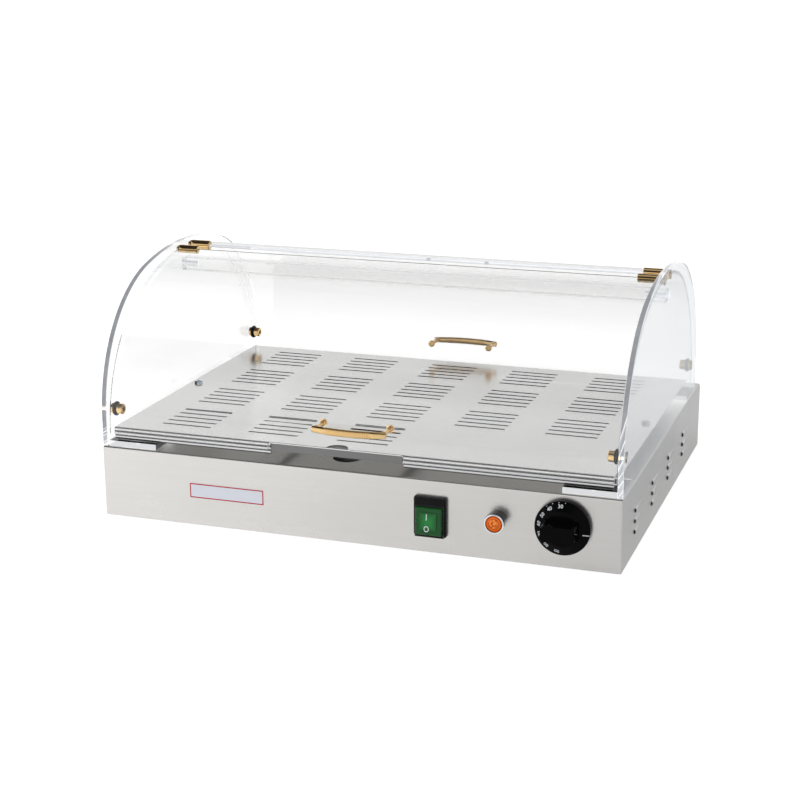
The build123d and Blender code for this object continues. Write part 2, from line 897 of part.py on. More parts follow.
def pan_runners():
    """Angle runners that hang from the tray and carry the pan's edges."""
    bar_half, body_half = pan_half_widths()
    t = runner_sheet
    y0 = tray_edge_y + 2 * t
    y1 = y0 + runner_length
    shelf_top = pan_bottom - runner_drop
    runners = []
    for side in (-1, 1):
        inner = pan_centre_x + side * (body_half + runner_side_gap)
        outer = inner + side * t
        lip = inner - side * runner_shelf
        web = box(min(inner, outer), max(inner, outer), y0, y1, shelf_top - t, tray_underside)
        runners.append(web + box(min(lip, inner), max(lip, inner), y0, y1, shelf_top - t, shelf_top))
    return runners


def panel_foot_screw_places():
    """Screws through the deck into the foot plates, in X and Y."""
    x = panel_inner_x - foot_plate_width / 2
    front = foot_plate_front + foot_plate_depth / 2
    rear = 2 * arch_centre_y - front
    return [(sx * x, y) for sx in (-1, 1) for y in (front, rear)]


def panel_feet():
    plate = box(
        panel_inner_x - foot_plate_width,
        panel_inner_x,
        foot_plate_front,
        foot_plate_front + foot_plate_depth,
        base_top,
        base_top + foot_plate_thickness,
    )
    x, y = panel_foot_screw_places()[2]
    plate = plate - rod(foot_screw_radius, (x, y, base_top - over), base_top + foot_screw_depth, "z")
    front_pair = [plate, to_left(plate)]
    return solids_of(*front_pair, *[to_rear(foot) for foot in front_pair])


def panel_foot_screws():
    screws = []
    for x, y in panel_foot_screw_places():
        head = rod(foot_screw_head_radius, (x, y, deck_underside - foot_screw_head_height), deck_underside, "z")
        screws.append(head + rod(foot_screw_radius, (x, y, deck_underside), base_top + foot_screw_depth, "z"))
    return screws


def side_panel():
    """The right panel, with holes for the hinge bushes, the cross bar's screw and the bumpers."""
    panel = slab(panel_face(), panel_inner_x, panel_outer_x)
    outer_edges = panel.faces().sort_by(Axis.X)[-1].edges() + panel.faces().sort_by(Axis.X)[0].edges()
    panel = chamfer(outer_edges, panel_edge_chamfer)
    bush = spigot_radius + spigot_clearance + bush_wall
    holes = [
        (bush, hinge_front_y, hinge_z),
        (bush, hinge_rear_y, hinge_z),
        (bar_screw_radius + screw_hole_clearance, arch_centre_y, bar_z),
        (bumper_shank_radius + screw_hole_clearance, bumper_front_y, bumper_z),
        (bumper_shank_radius + screw_hole_clearance, bumper_rear_y, bumper_z),
    ]
    for radius, y, z in holes:
        panel = panel - rod(radius, (panel_inner_x - over, y, z), panel_outer_x + over, "x")
    return panel


def cross_bar():
    half_x = panel_inner_x - bar_end_gap
    half_y = bar_width / 2
    half_z = bar_thickness / 2
    bar = box(-half_x, half_x, arch_centre_y - half_y, arch_centre_y + half_y, bar_z - half_z, bar_z + half_z)
    for side in (-1, 1):
        start = (side * (half_x - bar_screw_depth), arch_centre_y, bar_z)
        bar = bar - rod(bar_screw_radius, start, side * (half_x + over), "x")
    return [bar]


def cross_bar_screws():
    depth = panel_inner_x - bar_end_gap - bar_screw_depth
    head = rod(bar_head_radius, (panel_outer_x, arch_centre_y, bar_z), panel_outer_x + bar_head_height, "x")
    head = fillet(head.edges().sort_by(Axis.X)[-1], bar_head_round)
    slot_x = panel_outer_x + bar_head_height
    half_y = bar_slot_width / 2
    half_z = bar_head_radius + over
    slot = box(
        slot_x - bar_slot_depth,
        slot_x + over,
        arch_centre_y - half_y,
        arch_centre_y + half_y,
        bar_z - half_z,
        bar_z + half_z,
    )
    screw = head - slot + rod(bar_screw_radius, (depth, arch_centre_y, bar_z), panel_outer_x, "x")
    return solids_of(screw, to_left(screw))


def on_four_corners(piece, spacing):
    """A round piece at the front right, copied to the left and to the rear at a spacing."""
    pair = [piece, to_left(piece)]
    return solids_of(*pair, *[Pos(0, spacing, 0) * copy for copy in pair])


def bumper_levels():
    """X of the spacer's inner face and of the ring's inner side, going inwards from the panel."""
    spacer = panel_inner_x - bumper_spacer_length
    return spacer, spacer - 2 * (ring_section_radius + ring_fit)


def bumper_spacers():
    spacer_x, ring_x = bumper_levels()
    sleeve = rod(bumper_spacer_radius, (spacer_x, bumper_front_y, bumper_z), panel_inner_x, "x")
    hole = bumper_shank_radius + screw_hole_clearance
    bore = rod(hole, (spacer_x - over, bumper_front_y, bumper_z), panel_inner_x + over, "x")
    return on_four_corners(sleeve - bore, bumper_rear_y - bumper_front_y)


def bumper_rings():
    spacer_x, ring_x = bumper_levels()
    ring = Rot(0, 90, 0) * Torus(ring_radius - ring_section_radius, ring_section_radius)
    ring = Pos((spacer_x + ring_x) / 2, bumper_front_y, bumper_z) * ring
    return on_four_corners(ring, bumper_rear_y - bumper_front_y)


def bumper_screws():
    spacer_x, ring_x = bumper_levels()
    at = (bumper_front_y, bumper_z)
    head_x = ring_x - bumper_head_length
    head = rod(bumper_head_radius, (head_x, *at), ring_x, "x")
    head = chamfer(head.edges().filter_by(GeomType.CIRCLE).sort_by(Axis.X)[0], bumper_edge)
    head = head - hex_rod(bumper_socket_radius, (head_x, *at), head_x + bumper_socket_depth, "x")
    neck = rod(bumper_neck_radius, (ring_x, *at), spacer_x, "x")
    shank = rod(bumper_shank_radius, (spacer_x, *at), panel_outer_x, "x")
    return on_four_corners(head + neck + shank, bumper_rear_y - bumper_front_y)


def hinge_bushes():
    inner = spigot_radius + spigot_clearance
    at = (hinge_front_y, hinge_z)
    sleeve = rod(inner + bush_wall, (panel_inner_x, *at), panel_outer_x, "x")
    flange = rod(bush_flange_radius, (panel_inner_x - bush_flange_thickness, *at), panel_inner_x, "x")
    bore = rod(inner, (panel_inner_x - 2 * bush_flange_thickness, *at), panel_outer_x + over, "x")
    return on_four_corners(sleeve + flange - bore, hinge_rear_y - hinge_front_y)


def hinge_barrel():
    """The front right barrel: slotted for the sheet, with a spigot that turns in the panel's bush."""
    at = (hinge_front_y, hinge_z)
    end = panel_inner_x - bush_flange_thickness - bush_gap
    barrel = rod(barrel_radius, (end - barrel_length, *at), end, "x")
    barrel = chamfer(barrel.edges().filter_by(GeomType.CIRCLE), barrel_chamfer)
    barrel = barrel + rod(spigot_radius, (end, *at), panel_outer_x, "x")
    cut = crown_sector(
        -slot_clearance,
        door_thickness + slot_clearance,
        hinge_half_spacing - slot_past_axis,
        hinge_half_spacing + 2 * barrel_radius,
    )
    barrel = barrel - slab(cut, end - barrel_length - over, end)
    for x in clamp_places():
        hole = rod(clamp_radius + clamp_clearance, (x, clamp_y(), hinge_z - 2 * barrel_radius), hinge_z, "z")
        barrel = barrel - hole
    return barrel


def clamp_y():
    return hinge_front_y - clamp_offset


def clamp_places():
    middle = panel_inner_x - bush_flange_thickness - bush_gap - barrel_length / 2
    return [middle - clamp_spacing / 2, middle + clamp_spacing / 2]


def clamp_screws():
    """Grub screws up into the slot's lower jaw, as a pair for the front right barrel."""
    top = hinge_z - door_thickness / 2 - clamp_recess
    screws = []
    for x in clamp_places():
        bottom = hinge_z - barrel_radius + clamp_foot
        at = (x, clamp_y(), bottom)
        socket = hex_rod(clamp_socket_radius, at, bottom + clamp_socket_depth, "z")
        screws.append(rod(clamp_radius, at, top, "z") - socket)
    return screws


def handle_screw_places(handle_x):
    return [handle_x - handle_spacing / 2, handle_x + handle_spacing / 2]


def door(arch, handle_x, handle_z, relieved):
    """A door's sheet on the front side, drilled for its handle, and relieved over the pan where asked."""
    strip = door_strip(arch, 0.0, door_thickness, hinge_half_spacing - sheet_past_axis, door_bottom)
    sheet_solid = slab(strip, -door_half_width, door_half_width)
    relief = Pos(pan_centre_x, door_bottom) * Rectangle(pan_notch_width + 2 * relief_extra, 2 * relief_height)
    relief = fillet(relief.vertices().group_by(Axis.Y)[-1], relief_corner)
    outer_y = arch_centre_y - arch.half_depth - over
    inner_y = outer_y + 4 * door_thickness
    if relieved:
        sheet_solid = sheet_solid - Pos(0, inner_y, 0) * extrude(Plane.XZ * relief, amount=inner_y - outer_y)
    for x in handle_screw_places(handle_x):
        hole = handle_screw_radius + screw_hole_clearance
        sheet_solid = sheet_solid - rod(hole, (x, outer_y, handle_z), inner_y, "y")
    return sheet_solid


def handle(arch, handle_x, handle_z):
    """Bowed brass handle: two turned legs cut to the sheet's curve, and an oval bow over them."""
    skin_y = arch_centre_y - arch.reach(handle_z)
    bow_y = skin_y - handle_stand_off
    half = handle_spacing / 2
    reach = half + handle_overhang
    path = ThreePointArc(
        (handle_x - reach, bow_y, handle_z),
        (handle_x, bow_y - handle_bow, handle_z),
        (handle_x + reach, bow_y, handle_z),
    )
    section = Plane(origin=path @ 0, x_dir=(0, 0, 1), z_dir=path % 0) * Ellipse(bow_half_height, bow_half_depth)
    piece = sweep(section, path=path)
    for x in handle_screw_places(handle_x):
        leg = Cone(handle_leg_radius, handle_leg_tip_radius, handle_stand_off + door_thickness,
                   align=(Align.CENTER, Align.CENTER, Align.MIN))
        piece = piece + Pos(x, bow_y, handle_z) * Rot(-90, 0, 0) * leg
    inside = door_strip(arch, 0.0, 4 * door_thickness, 4 * hinge_half_spacing, door_bottom)
    piece = piece - slab(inside, handle_x - handle_spacing, handle_x + handle_spacing)
    for x in handle_screw_places(handle_x):
        start = (x, skin_y - handle_screw_depth, handle_z)
        piece = piece - rod(handle_screw_radius, start, skin_y + handle_screw_depth, "y")
    return piece


def handle_screws(arch, handle_x, handle_z):
    """Round head screws from inside the case through the sheet into the legs."""
    seat_y = arch_centre_y - arch.reach(handle_z - handle_head_radius, door_thickness)
    seat_y = max(seat_y, arch_centre_y - arch.reach(handle_z + handle_head_radius, door_thickness))
    skin_y = arch_centre_y - arch.reach(handle_z)
    screws = []
    for x in handle_screw_places(handle_x):
        head = rod(handle_head_radius, (x, seat_y, handle_z), seat_y + handle_head_height, "y")
        head = fillet(head.edges().filter_by(GeomType.CIRCLE).sort_by(Axis.Y)[-1], handle_head_round)
        end = seat_y + handle_head_height
        head = head - hex_rod(hex_socket_radius, (x, end - hex_socket_depth, handle_z), end, "y")
        screws.append(head + rod(handle_screw_radius, (x, skin_y - handle_screw_depth, handle_z), seat_y, "y"))
    return screws


def switch_opening():
    """Half width and half height of the collar's opening round the rocker."""
    return rocker_width / 2 + rocker_side_gap, rocker_height / 2 + rocker_end_gap


def switch_bezel():
    """Front plate with a tapered collar, deeper above the rocker than below it."""
    plate = Pos(switch_x, switch_z) * RectangleRounded(bezel_width, bezel_height, bezel_corner)
    plate = Pos(0, front_y, 0) * extrude(Plane.XZ * plate, amount=bezel_thickness)
    open_x, open_z = switch_opening()
    plate_y = front_y - bezel_thickness
    base_half_x = bezel_width / 2 - collar_wall
    base_half_z = bezel_height / 2 - collar_wall
    top_half_x = open_x + collar_wall / 2
    top_half_z = open_z + collar_wall / 2
    low = Plane(origin=(switch_x, plate_y, switch_z), x_dir=(1, 0, 0), z_dir=(0, -1, 0))
    high = Plane(origin=(switch_x, plate_y - collar_proud, rocker_z), x_dir=(1, 0, 0), z_dir=(0, -1, 0))
    collar = loft([
        low * Rectangle(2 * base_half_x, 2 * base_half_z),
        high * Rectangle(2 * top_half_x, 2 * top_half_z),
    ])
    front = plate_y - 2 * collar_proud
    x0 = switch_x - open_x
    x1 = switch_x + open_x
    opening = box(x0, x1, front, front_y + over, rocker_z - open_z, rocker_z + open_z)
    return [plate + collar - opening]


def switch_body():
    half_x = switch_body_width / 2
    half_z = switch_body_height / 2
    back = front_y + switch_body_depth
    body = box(switch_x - half_x, switch_x + half_x, front_y, back, switch_z - half_z, switch_z + half_z)
    stem_x, stem_z = rocker_stem()
    pocket_x = stem_x + rocker_side_gap
    pocket_z = stem_z + rocker_end_gap
    body = body - box(
        switch_x - pocket_x, switch_x + pocket_x, front_y - over, front_y + rocker_depth,
        rocker_z - pocket_z, rocker_z + pocket_z
    )
    pin_end = pocket_x + rocker_pin_length
    bore = rocker_pin_radius + rocker_pin_clearance
    pivot = (switch_x - pin_end, front_y + rocker_pivot_depth, rocker_z)
    body = body - rod(bore, pivot, switch_x + pin_end, "x")
    for side_x in (-1, 1):
        for side_z in (-1, 1):
            x = switch_x + side_x * half_x / 2
            z = switch_z + side_z * half_z / 2
            w = blade_width / 2
            t = blade_thickness / 2
            body = body + box(x - w, x + w, back, back + blade_length, z - t, z + t)
    return [body]


def rocker_stem():
    """Half width and half height of the stem behind the rocker's cap."""
    return rocker_width / 4, rocker_height / 8


def rocker_frame():
    """The rocker's tilt about its pivot, with its top pushed in. Depths count from the wall's plane."""
    pivot = Pos(switch_x, front_y + rocker_pivot_depth, rocker_z)
    return pivot * Rot(-rocker_rest_tilt, 0, 0) * Pos(0, -rocker_pivot_depth, 0)


def switch_rocker():
    half_x = rocker_width / 2
    half_z = rocker_height / 2
    cap = box(-half_x, half_x, -rocker_proud, -rocker_lift, -half_z, half_z)
    front_edges = cap.faces().sort_by(Axis.Y)[0].edges()
    cap = fillet(front_edges, rocker_edge)
    window_x = half_x - lens_border
    window_z = half_z - lens_border
    cap = cap - box(-window_x, window_x, -rocker_proud - over, -rocker_proud + lens_sink, -window_z, window_z)
    stem_x, stem_z = rocker_stem()
    stem = box(-stem_x, stem_x, -rocker_lift, rocker_depth - rocker_stem_gap, -stem_z, stem_z)
    pin_x = stem_x + rocker_side_gap + rocker_pin_length - rocker_pin_clearance
    pins = rod(rocker_pin_radius, (-pin_x, rocker_pivot_depth, 0), pin_x, "x")
    return solids_of(rocker_frame() * (cap + stem + pins))


def rocker_lens():
    window_x = rocker_width / 2 - lens_border - lens_fit
    window_z = rocker_height / 2 - lens_border - lens_fit
    lens = box(-window_x, window_x, -rocker_proud - lens_proud, -rocker_proud + lens_sink, -window_z, window_z)
    lens = fillet(lens.faces().sort_by(Axis.Y)[0].edges(), lens_edge)
    return solids_of(rocker_frame() * lens)


def turned(points, x, z):
    """A solid of revolution about an axis along Y, from points of radius and distance behind the front wall."""
    outline = Polyline(*points, close=True)
    solid = revolve(make_face(outline), Axis.Y)
    return Pos(x, front_y, z) * solid


def lamp_bezel():
    """Chrome cup with a rolled rim, standing on the front wall."""
    bore = lamp_radius - lamp_wall
    rim = lamp_proud - lamp_rim
    points = [
        (lamp_shank_radius + lamp_fit, 0),
        (lamp_radius, 0),
        (lamp_radius, -rim),
        (lamp_radius - lamp_roll, -lamp_proud + lamp_roll),
        (lamp_radius - lamp_rim, -lamp_proud),
        (bore, -lamp_proud),
        (bore, -lamp_floor),
        (lamp_shank_radius + lamp_fit, -lamp_floor),
    ]
    return solids_of(turned(points, lamp_x, lamp_z))


def lamp_body():
    """Black holder: a threaded shank through the wall with a flange inside the cup, and two blades."""
    flange = lamp_radius - lamp_wall - lamp_fit
    points = [
        (0, lamp_shank_length),
        (lamp_shank_radius, lamp_shank_length),
        (lamp_shank_radius, -lamp_floor),
        (flange, -lamp_floor),
        (flange, -lamp_floor - lamp_flange),
        (0, -lamp_floor - lamp_flange),
    ]
    body = turned(points, lamp_x, lamp_z)
    back = front_y + lamp_shank_length
    for side in (-1, 1):
        x = lamp_x + side * lamp_shank_radius / 2
        t = blade_thickness / 2
        w = blade_width / 3
        body = body + box(x - t, x + t, back, back + blade_length, lamp_z - w, lamp_z + w)
    return solids_of(body)


def lamp_lens():
    """Domed orange lens that fills the cup."""
    radius = lamp_radius - lamp_wall - lamp_fit
    edge = -lamp_proud + lamp_rim
    back = -lamp_floor - lamp_flange
    middle = (radius * lamp_dome_reach, edge - lamp_dome * lamp_dome_share)
    arc = ThreePointArc((0, edge - lamp_dome), middle, (radius, edge))
    outline = [
        Line((0, back), (0, edge - lamp_dome)),
        arc,
        Line((radius, edge), (radius, back)),
        Line((radius, back), (0, back)),
    ]
    return solids_of(Pos(lamp_x, front_y, lamp_z) * revolve(make_face(outline), Axis.Y))


def lamp_nut():
    at = (lamp_x, wall_inner_front, lamp_z)
    nut = hex_rod(lamp_nut_radius, at, wall_inner_front + lamp_nut_thickness, "y")
    hole = lamp_shank_radius + lamp_fit
    return solids_of(nut - rod(hole, (lamp_x, front_y, lamp_z), wall_inner_front + 2 * lamp_nut_thickness, "y"))


def thermostat_screw_xs():
    half = thermostat_screw_spacing / 2
    return [knob_x - half, knob_x + half]


def thermostat_body():
    """Switch block behind the wall, bored for the shaft, with its connecting blades."""
    half = thermostat_width / 2
    back = wall_inner_front + thermostat_depth
    body = box(knob_x - half, knob_x + half, wall_inner_front, back, knob_z - half, knob_z + half)
    body = chamfer(body.edges().filter_by(Axis.Y), thermostat_corner)
    bore = shaft_radius + shaft_clearance
    bore_end = wall_inner_front + shaft_in_body + over
    body = body - rod(bore, (knob_x, wall_inner_front - over, knob_z), bore_end, "y")
    for x in thermostat_screw_xs():
        end = wall_inner_front + thermostat_screw_bite + thermostat_screw_spare
        body = body - rod(thermostat_screw_radius, (x, wall_inner_front - over, knob_z), end, "y")
    w = blade_width / 2
    t = blade_thickness / 2
    for side in (-1, 1):
        x = knob_x + side * half / 2
        z = knob_z - half / 2
        body = body + box(x - w, x + w, back, back + blade_length, z - t, z + t)
    return [body]


def thermostat_screws():
    screws = []
    for x in thermostat_screw_xs():
        head = rod(thermostat_head_radius, (x, front_y - thermostat_head_height, knob_z), front_y, "y")
        end = wall_inner_front + thermostat_screw_bite
        screws.append(head + rod(thermostat_screw_radius, (x, front_y, knob_z), end, "y"))
    return screws


def capillary_x():
    return knob_x - thermostat_width / 4


def capillary_z():
    return deck_underside - bulb_drop


def thermostat_sensor():
    """Thin capillary from the thermostat through the reflector to a bulb above the heater."""
    start_y = wall_inner_front + thermostat_depth
    x = capillary_x()
    z = capillary_z()
    turn_y = bulb_y - capillary_bend
    corner = capillary_bend * (1 - sqrt(0.5))
    bend_end = (x - capillary_bend, bulb_y, z)
    path = Wire([
        Line((x, start_y, z), (x, turn_y, z)),
        ThreePointArc((x, turn_y, z), (x - corner, bulb_y - corner, z), bend_end),
        Line(bend_end, (x - 2 * capillary_bend, bulb_y, z)),
    ])
    section = Plane(origin=path @ 0, z_dir=path % 0) * Circle(capillary_radius)
    tube = sweep(section, path=path)
    bulb_end = x - 2 * capillary_bend
    bulb = rod(bulb_radius, (bulb_end - bulb_length, bulb_y, z), bulb_end, "x")
    return solids_of(tube + bulb)


def thermostat_shaft():
    """Shaft from the thermostat through the wall into the knob, with a flat for the knob."""
    out = front_y - knob_wall_gap - knob_hollow_depth - shaft_in_knob
    shaft = rod(shaft_radius, (knob_x, out, knob_z), wall_inner_front + shaft_in_body, "y")
    x0 = knob_x - shaft_radius
    x1 = knob_x + shaft_radius
    flat = box(x0, x1, out - over, out + shaft_in_knob, knob_z + shaft_flat_height, knob_z + shaft_radius)
    return [shaft - flat]


def thermostat_knob():
    """Round skirt that tapers to a flat face, hollow behind, with a tapered grip bar across it."""
    back = -knob_wall_gap
    skirt = back - knob_skirt
    face = back - knob_face
    hollow = knob_radius - knob_hollow_wall
    points = [
        (0, back - knob_hollow_depth),
        (hollow - knob_hollow_taper, back - knob_hollow_depth),
        (hollow, back),
        (knob_radius, back),
        (knob_radius, skirt),
        (knob_face_radius + knob_face_round, face + knob_face_fall),
        (knob_face_radius, face),
        (0, face),
    ]
    knob = turned(points, knob_x, knob_z)
    top_y = front_y - knob_wall_gap - grip_top
    low = Plane(origin=(knob_x, front_y + skirt, knob_z), x_dir=(1, 0, 0), z_dir=(0, -1, 0))
    high = Plane(origin=(knob_x, top_y, knob_z), x_dir=(1, 0, 0), z_dir=(0, -1, 0))
    grip = loft([
        low * RectangleRounded(grip_length, grip_width, grip_edge * 2),
        high * RectangleRounded(grip_length - grip_taper, grip_width - 2 * grip_taper, grip_edge * 2),
    ])
    knob = knob + grip
    shaft_end = back - knob_hollow_depth - shaft_in_knob
    bore = rod(shaft_radius, (knob_x, front_y + shaft_end, knob_z), front_y, "y")
    start = front_y + shaft_end
    x0 = knob_x - shaft_radius
    x1 = knob_x + shaft_radius
    flat = box(x0, x1, start - over, start + shaft_in_knob, knob_z + shaft_flat_height, knob_z + shaft_radius)
    return solids_of(knob - (bore - flat))


def terminal_block():
    half_x = terminal_width / 2
    half_y = terminal_length / 2
    top = plate_top + terminal_height
    y0 = terminal_y - half_y
    y1 = terminal_y + half_y
    block = box(terminal_x - half_x, terminal_x + half_x, y0, y1, plate_top, top)
    pitch = terminal_length / terminal_poles
    for pole in range(terminal_poles):
        y = terminal_y + (pole - (terminal_poles - 1) / 2) * pitch
        for x in (terminal_x - half_x / 2, terminal_x + half_x / 2):
            block = block - rod(terminal_well_radius, (x, y, top - terminal_well_depth), top + over, "z")
    return [block]


def cable_gland():
    """Gland body: threaded end through the rear wall, hexagon outside and a neck for the nut."""
    at = (gland_x, rear_y, gland_z)
    body = hex_rod(gland_hex_radius, at, rear_y + gland_hex_length, "y")
    neck_end = rear_y + gland_hex_length + gland_neck_length
    inner_end = wall_inner_rear - gland_thread_inside
    body = body + rod(gland_thread_radius, (gland_x, inner_end, gland_z), neck_end, "y")
    bore = rod(gland_bore_radius, (gland_x, inner_end - over, gland_z), neck_end + over, "y")
    seat = rod(gland_seal_radius, (gland_x, rear_y, gland_z), neck_end + over, "y")
    return [body - bore - seat]


def gland_seal():
    neck_end = rear_y + gland_hex_length + gland_neck_length
    ring = rod(gland_seal_radius - screw_hole_clearance, (gland_x, rear_y, gland_z), neck_end, "y")
    return [ring - rod(gland_bore_radius, (gland_x, rear_y - over, gland_z), neck_end + over, "y")]


def gland_nut():
    start = rear_y + gland_hex_length
    end = start + gland_nut_length
    shoulder = start + gland_nut_length * gland_nut_hex_share
    nut = hex_rod(gland_hex_radius, (gland_x, start, gland_z), shoulder, "y")
    nose = Cone(
        gland_nut_shoulder_radius,
        gland_nut_nose_radius,
        end - shoulder,
        align=(Align.CENTER, Align.CENTER, Align.MIN),
    )
    nose = Pos(gland_x, shoulder, gland_z) * Rot(-90, 0, 0) * nose
    nut = nut + nose
    thread = gland_thread_radius + screw_hole_clearance
    nut = nut - rod(thread, (gland_x, start - over, gland_z), start + gland_neck_length + gland_nut_spare, "y")
    return [nut - rod(gland_bore_radius, (gland_x, start, gland_z), end + over, "y")]


def gland_locknut():
    at = (gland_x, wall_inner_rear, gland_z)
    nut = hex_rod(locknut_radius, at, wall_inner_rear - locknut_thickness, "y")
    hole = gland_thread_radius + screw_hole_clearance
    inner_end = wall_inner_rear - gland_thread_inside
    return solids_of(nut - rod(hole, (gland_x, inner_end, gland_z), rear_y, "y"))


def for_both_sides(*pieces):
    return solids_of(*pieces, *[to_left(piece) for piece in pieces])


front_handle_place = (front_arch, front_handle_x, base_top + front_handle_height)
rear_handle_place = (rear_arch, rear_handle_x, base_top + rear_handle_height)
right_panel = side_panel()
barrels = for_both_sides(hinge_barrel())
clamps = for_both_sides(*clamp_screws())
rear_screws = handle_screws(*rear_handle_place)

nodes = {
    "base_housing": base_housing(),
    "bottom_plate": bottom_plate(),
    "bottom_screws": bottom_screws(),
    "rubber_feet": rubber_feet(),
    "heat_reflector": heat_reflector(),
    "heating_element": heating_element(),
    "element_straps": element_straps(),
    "element_seals": element_seals(),
    "perforated_tray": perforated_tray(),
    "tray_front_trim": tray_front_trim(),
    "tray_supports": tray_supports(),
    "tray_screws": tray_screws(),
    "pan_runners": pan_runners(),
    "water_pan": water_pan(),
    "panel_feet": panel_feet(),
    "panel_foot_screws": panel_foot_screws(),
    "side_panel_right": [right_panel],
    "side_panel_left": [to_left(right_panel)],
    "cross_bar": cross_bar(),
    "cross_bar_screws": cross_bar_screws(),
    "bumper_spacers": bumper_spacers(),
    "bumper_rings": bumper_rings(),
    "bumper_screws": bumper_screws(),
    "hinge_bushes": hinge_bushes(),
    "front_door": [door(*front_handle_place, True)],
    "front_hinge_barrels": barrels,
    "front_clamp_screws": clamps,
    "front_handle": [handle(*front_handle_place)],
    "front_handle_screws": handle_screws(*front_handle_place),
    "rear_door": [to_rear(door(*rear_handle_place, False))],
    "rear_hinge_barrels": [to_rear(barrel) for barrel in barrels],
    "rear_clamp_screws": [to_rear(screw) for screw in clamps],
    "rear_handle": [to_rear(handle(*rear_handle_place))],
    "rear_handle_screws": [to_rear(screw) for screw in rear_screws],
    "switch_bezel": switch_bezel(),
    "switch_body": switch_body(),
    "switch_rocker": switch_rocker(),
    "rocker_lens": rocker_lens(),
    "lamp_bezel": lamp_bezel(),
    "lamp_body": lamp_body(),
    "lamp_lens": lamp_lens(),
    "lamp_nut": lamp_nut(),
    "thermostat_body": thermostat_body(),
    "thermostat_screws": thermostat_screws(),
    "thermostat_sensor": thermostat_sensor(),
    "thermostat_shaft": thermostat_shaft(),
    "thermostat_knob": thermostat_knob(),
    "terminal_block": terminal_block(),
    "cable_gland": cable_gland(),
    "gland_seal": gland_seal(),
    "gland_nut": gland_nut(),
    "gland_locknut": gland_locknut(),
}

os.makedirs("parts", exist_ok=True)
for name, pieces in nodes.items():
    solids = solids_of(*pieces)
    export_step(Compound(label=name, children=solids), f"parts/{name}.step")
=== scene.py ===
"""Dresses a countertop heated display case: finishes for its metal, acrylic and plastic pieces, its fluted
brass handles, dial print, switch marks, lamp rings and front plate, and a plain studio round it.

Lengths are in metres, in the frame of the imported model: X to the right, Y to the back, Z up."""

from math import asin, cos, pi, radians, sin, sqrt

import bmesh
import bpy
from bpy.props import FloatProperty, FloatVectorProperty, IntProperty, PointerProperty
from mathutils import Matrix, Vector


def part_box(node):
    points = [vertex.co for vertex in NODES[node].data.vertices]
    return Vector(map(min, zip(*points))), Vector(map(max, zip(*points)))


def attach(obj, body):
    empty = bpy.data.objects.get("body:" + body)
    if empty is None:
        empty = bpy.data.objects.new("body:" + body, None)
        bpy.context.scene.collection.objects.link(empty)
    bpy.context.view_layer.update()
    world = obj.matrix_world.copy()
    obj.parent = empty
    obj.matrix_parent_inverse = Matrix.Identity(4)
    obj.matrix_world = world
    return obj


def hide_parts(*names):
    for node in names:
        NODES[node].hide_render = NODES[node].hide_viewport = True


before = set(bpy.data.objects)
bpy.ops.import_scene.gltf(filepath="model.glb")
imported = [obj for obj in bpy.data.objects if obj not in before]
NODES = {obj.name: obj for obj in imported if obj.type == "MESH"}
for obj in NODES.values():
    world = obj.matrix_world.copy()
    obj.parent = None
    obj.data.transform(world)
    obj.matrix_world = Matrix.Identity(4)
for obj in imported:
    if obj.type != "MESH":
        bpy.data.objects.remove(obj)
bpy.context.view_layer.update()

bl_info = {
    "name": "Heated display case",
    "version": (1, 0, 0),
    "blender": (4, 5, 0),
    "location": "3D View > Sidebar > Display Case",
    "description": "Finishes and details for a heated display case",
    "category": "Object",
}

MM = 0.001


# Sizes and colours that a user may change


class MetalSettings(bpy.types.PropertyGroup):
    stainless: FloatVectorProperty(
        name="Stainless", description="Colour of the base's brushed steel", subtype="COLOR", size=3,
        default=(0.72, 0.705, 0.68), min=0, max=1,
    )
    tray: FloatVectorProperty(
        name="Tray", description="Colour of the warm shelf's satin steel", subtype="COLOR", size=3,
        default=(0.715, 0.715, 0.71), min=0, max=1,
    )
    brass: FloatVectorProperty(
        name="Brass", description="Colour of the polished brass fittings", subtype="COLOR", size=3,
        default=(0.85, 0.585, 0.275), min=0, max=1,
    )
    grain_length: FloatProperty(
        name="Grain length", description="Length of the brushed grain's strokes", subtype="DISTANCE",
        default=0.06, min=0.002, max=0.5,
    )


class AcrylicSettings(bpy.types.PropertyGroup):
    tint: FloatVectorProperty(
        name="Tint", description="Colour that the clear sheet gives to what is behind it",
        subtype="COLOR", size=3,
        default=(0.99, 0.99, 0.987), min=0, max=1,
    )
    refraction: FloatProperty(
        name="Refraction", description="Index of refraction of the sheet", default=1.49, min=1, max=2,
    )
    # Painted light: the glow given to the sheet's cut edges.
    edge: FloatVectorProperty(
        name="Edge", description="Light that the sheet gathers and gives off at its cut edges",
        subtype="COLOR", size=3,
        default=(0.30, 0.31, 0.33), min=0, max=1,
    )
    # Painted light: the glow given to the bevelled corners of the cut edges.
    corner: FloatVectorProperty(
        name="Corner", description="Light given off by the bevelled corners of the cut edges",
        subtype="COLOR", size=3,
        default=(0.75, 0.76, 0.77), min=0, max=1,
    )


class HandleSettings(bpy.types.PropertyGroup):
    flute_count: IntProperty(
        name="Flutes", description="Number of flutes along the middle of the bow", default=20, min=2, max=60,
    )
    flute_pitch: FloatProperty(
        name="Flute pitch", description="Distance from one flute to the next", subtype="DISTANCE",
        default=2.1 * MM, min=0.5 * MM, max=5 * MM,
    )
    end_share: FloatProperty(
        name="End taper", description="Height of the bow's ends as a share of its middle", subtype="FACTOR",
        default=0.80, min=0.2, max=1,
    )


class DialSettings(bpy.types.PropertyGroup):
    numeral_height: FloatProperty(
        name="Numeral height", description="Height of the dial's numerals", subtype="DISTANCE",
        default=4.7 * MM, min=1 * MM, max=6 * MM,
    )
    dot_count: IntProperty(
        name="Dots", description="Number of dots before the first numeral", default=4, min=1, max=20,
    )
    ink: FloatVectorProperty(
        name="Ink", description="Colour of the printed marks", subtype="COLOR", size=3,
        default=(0.80, 0.84, 0.88), min=0, max=1,
    )


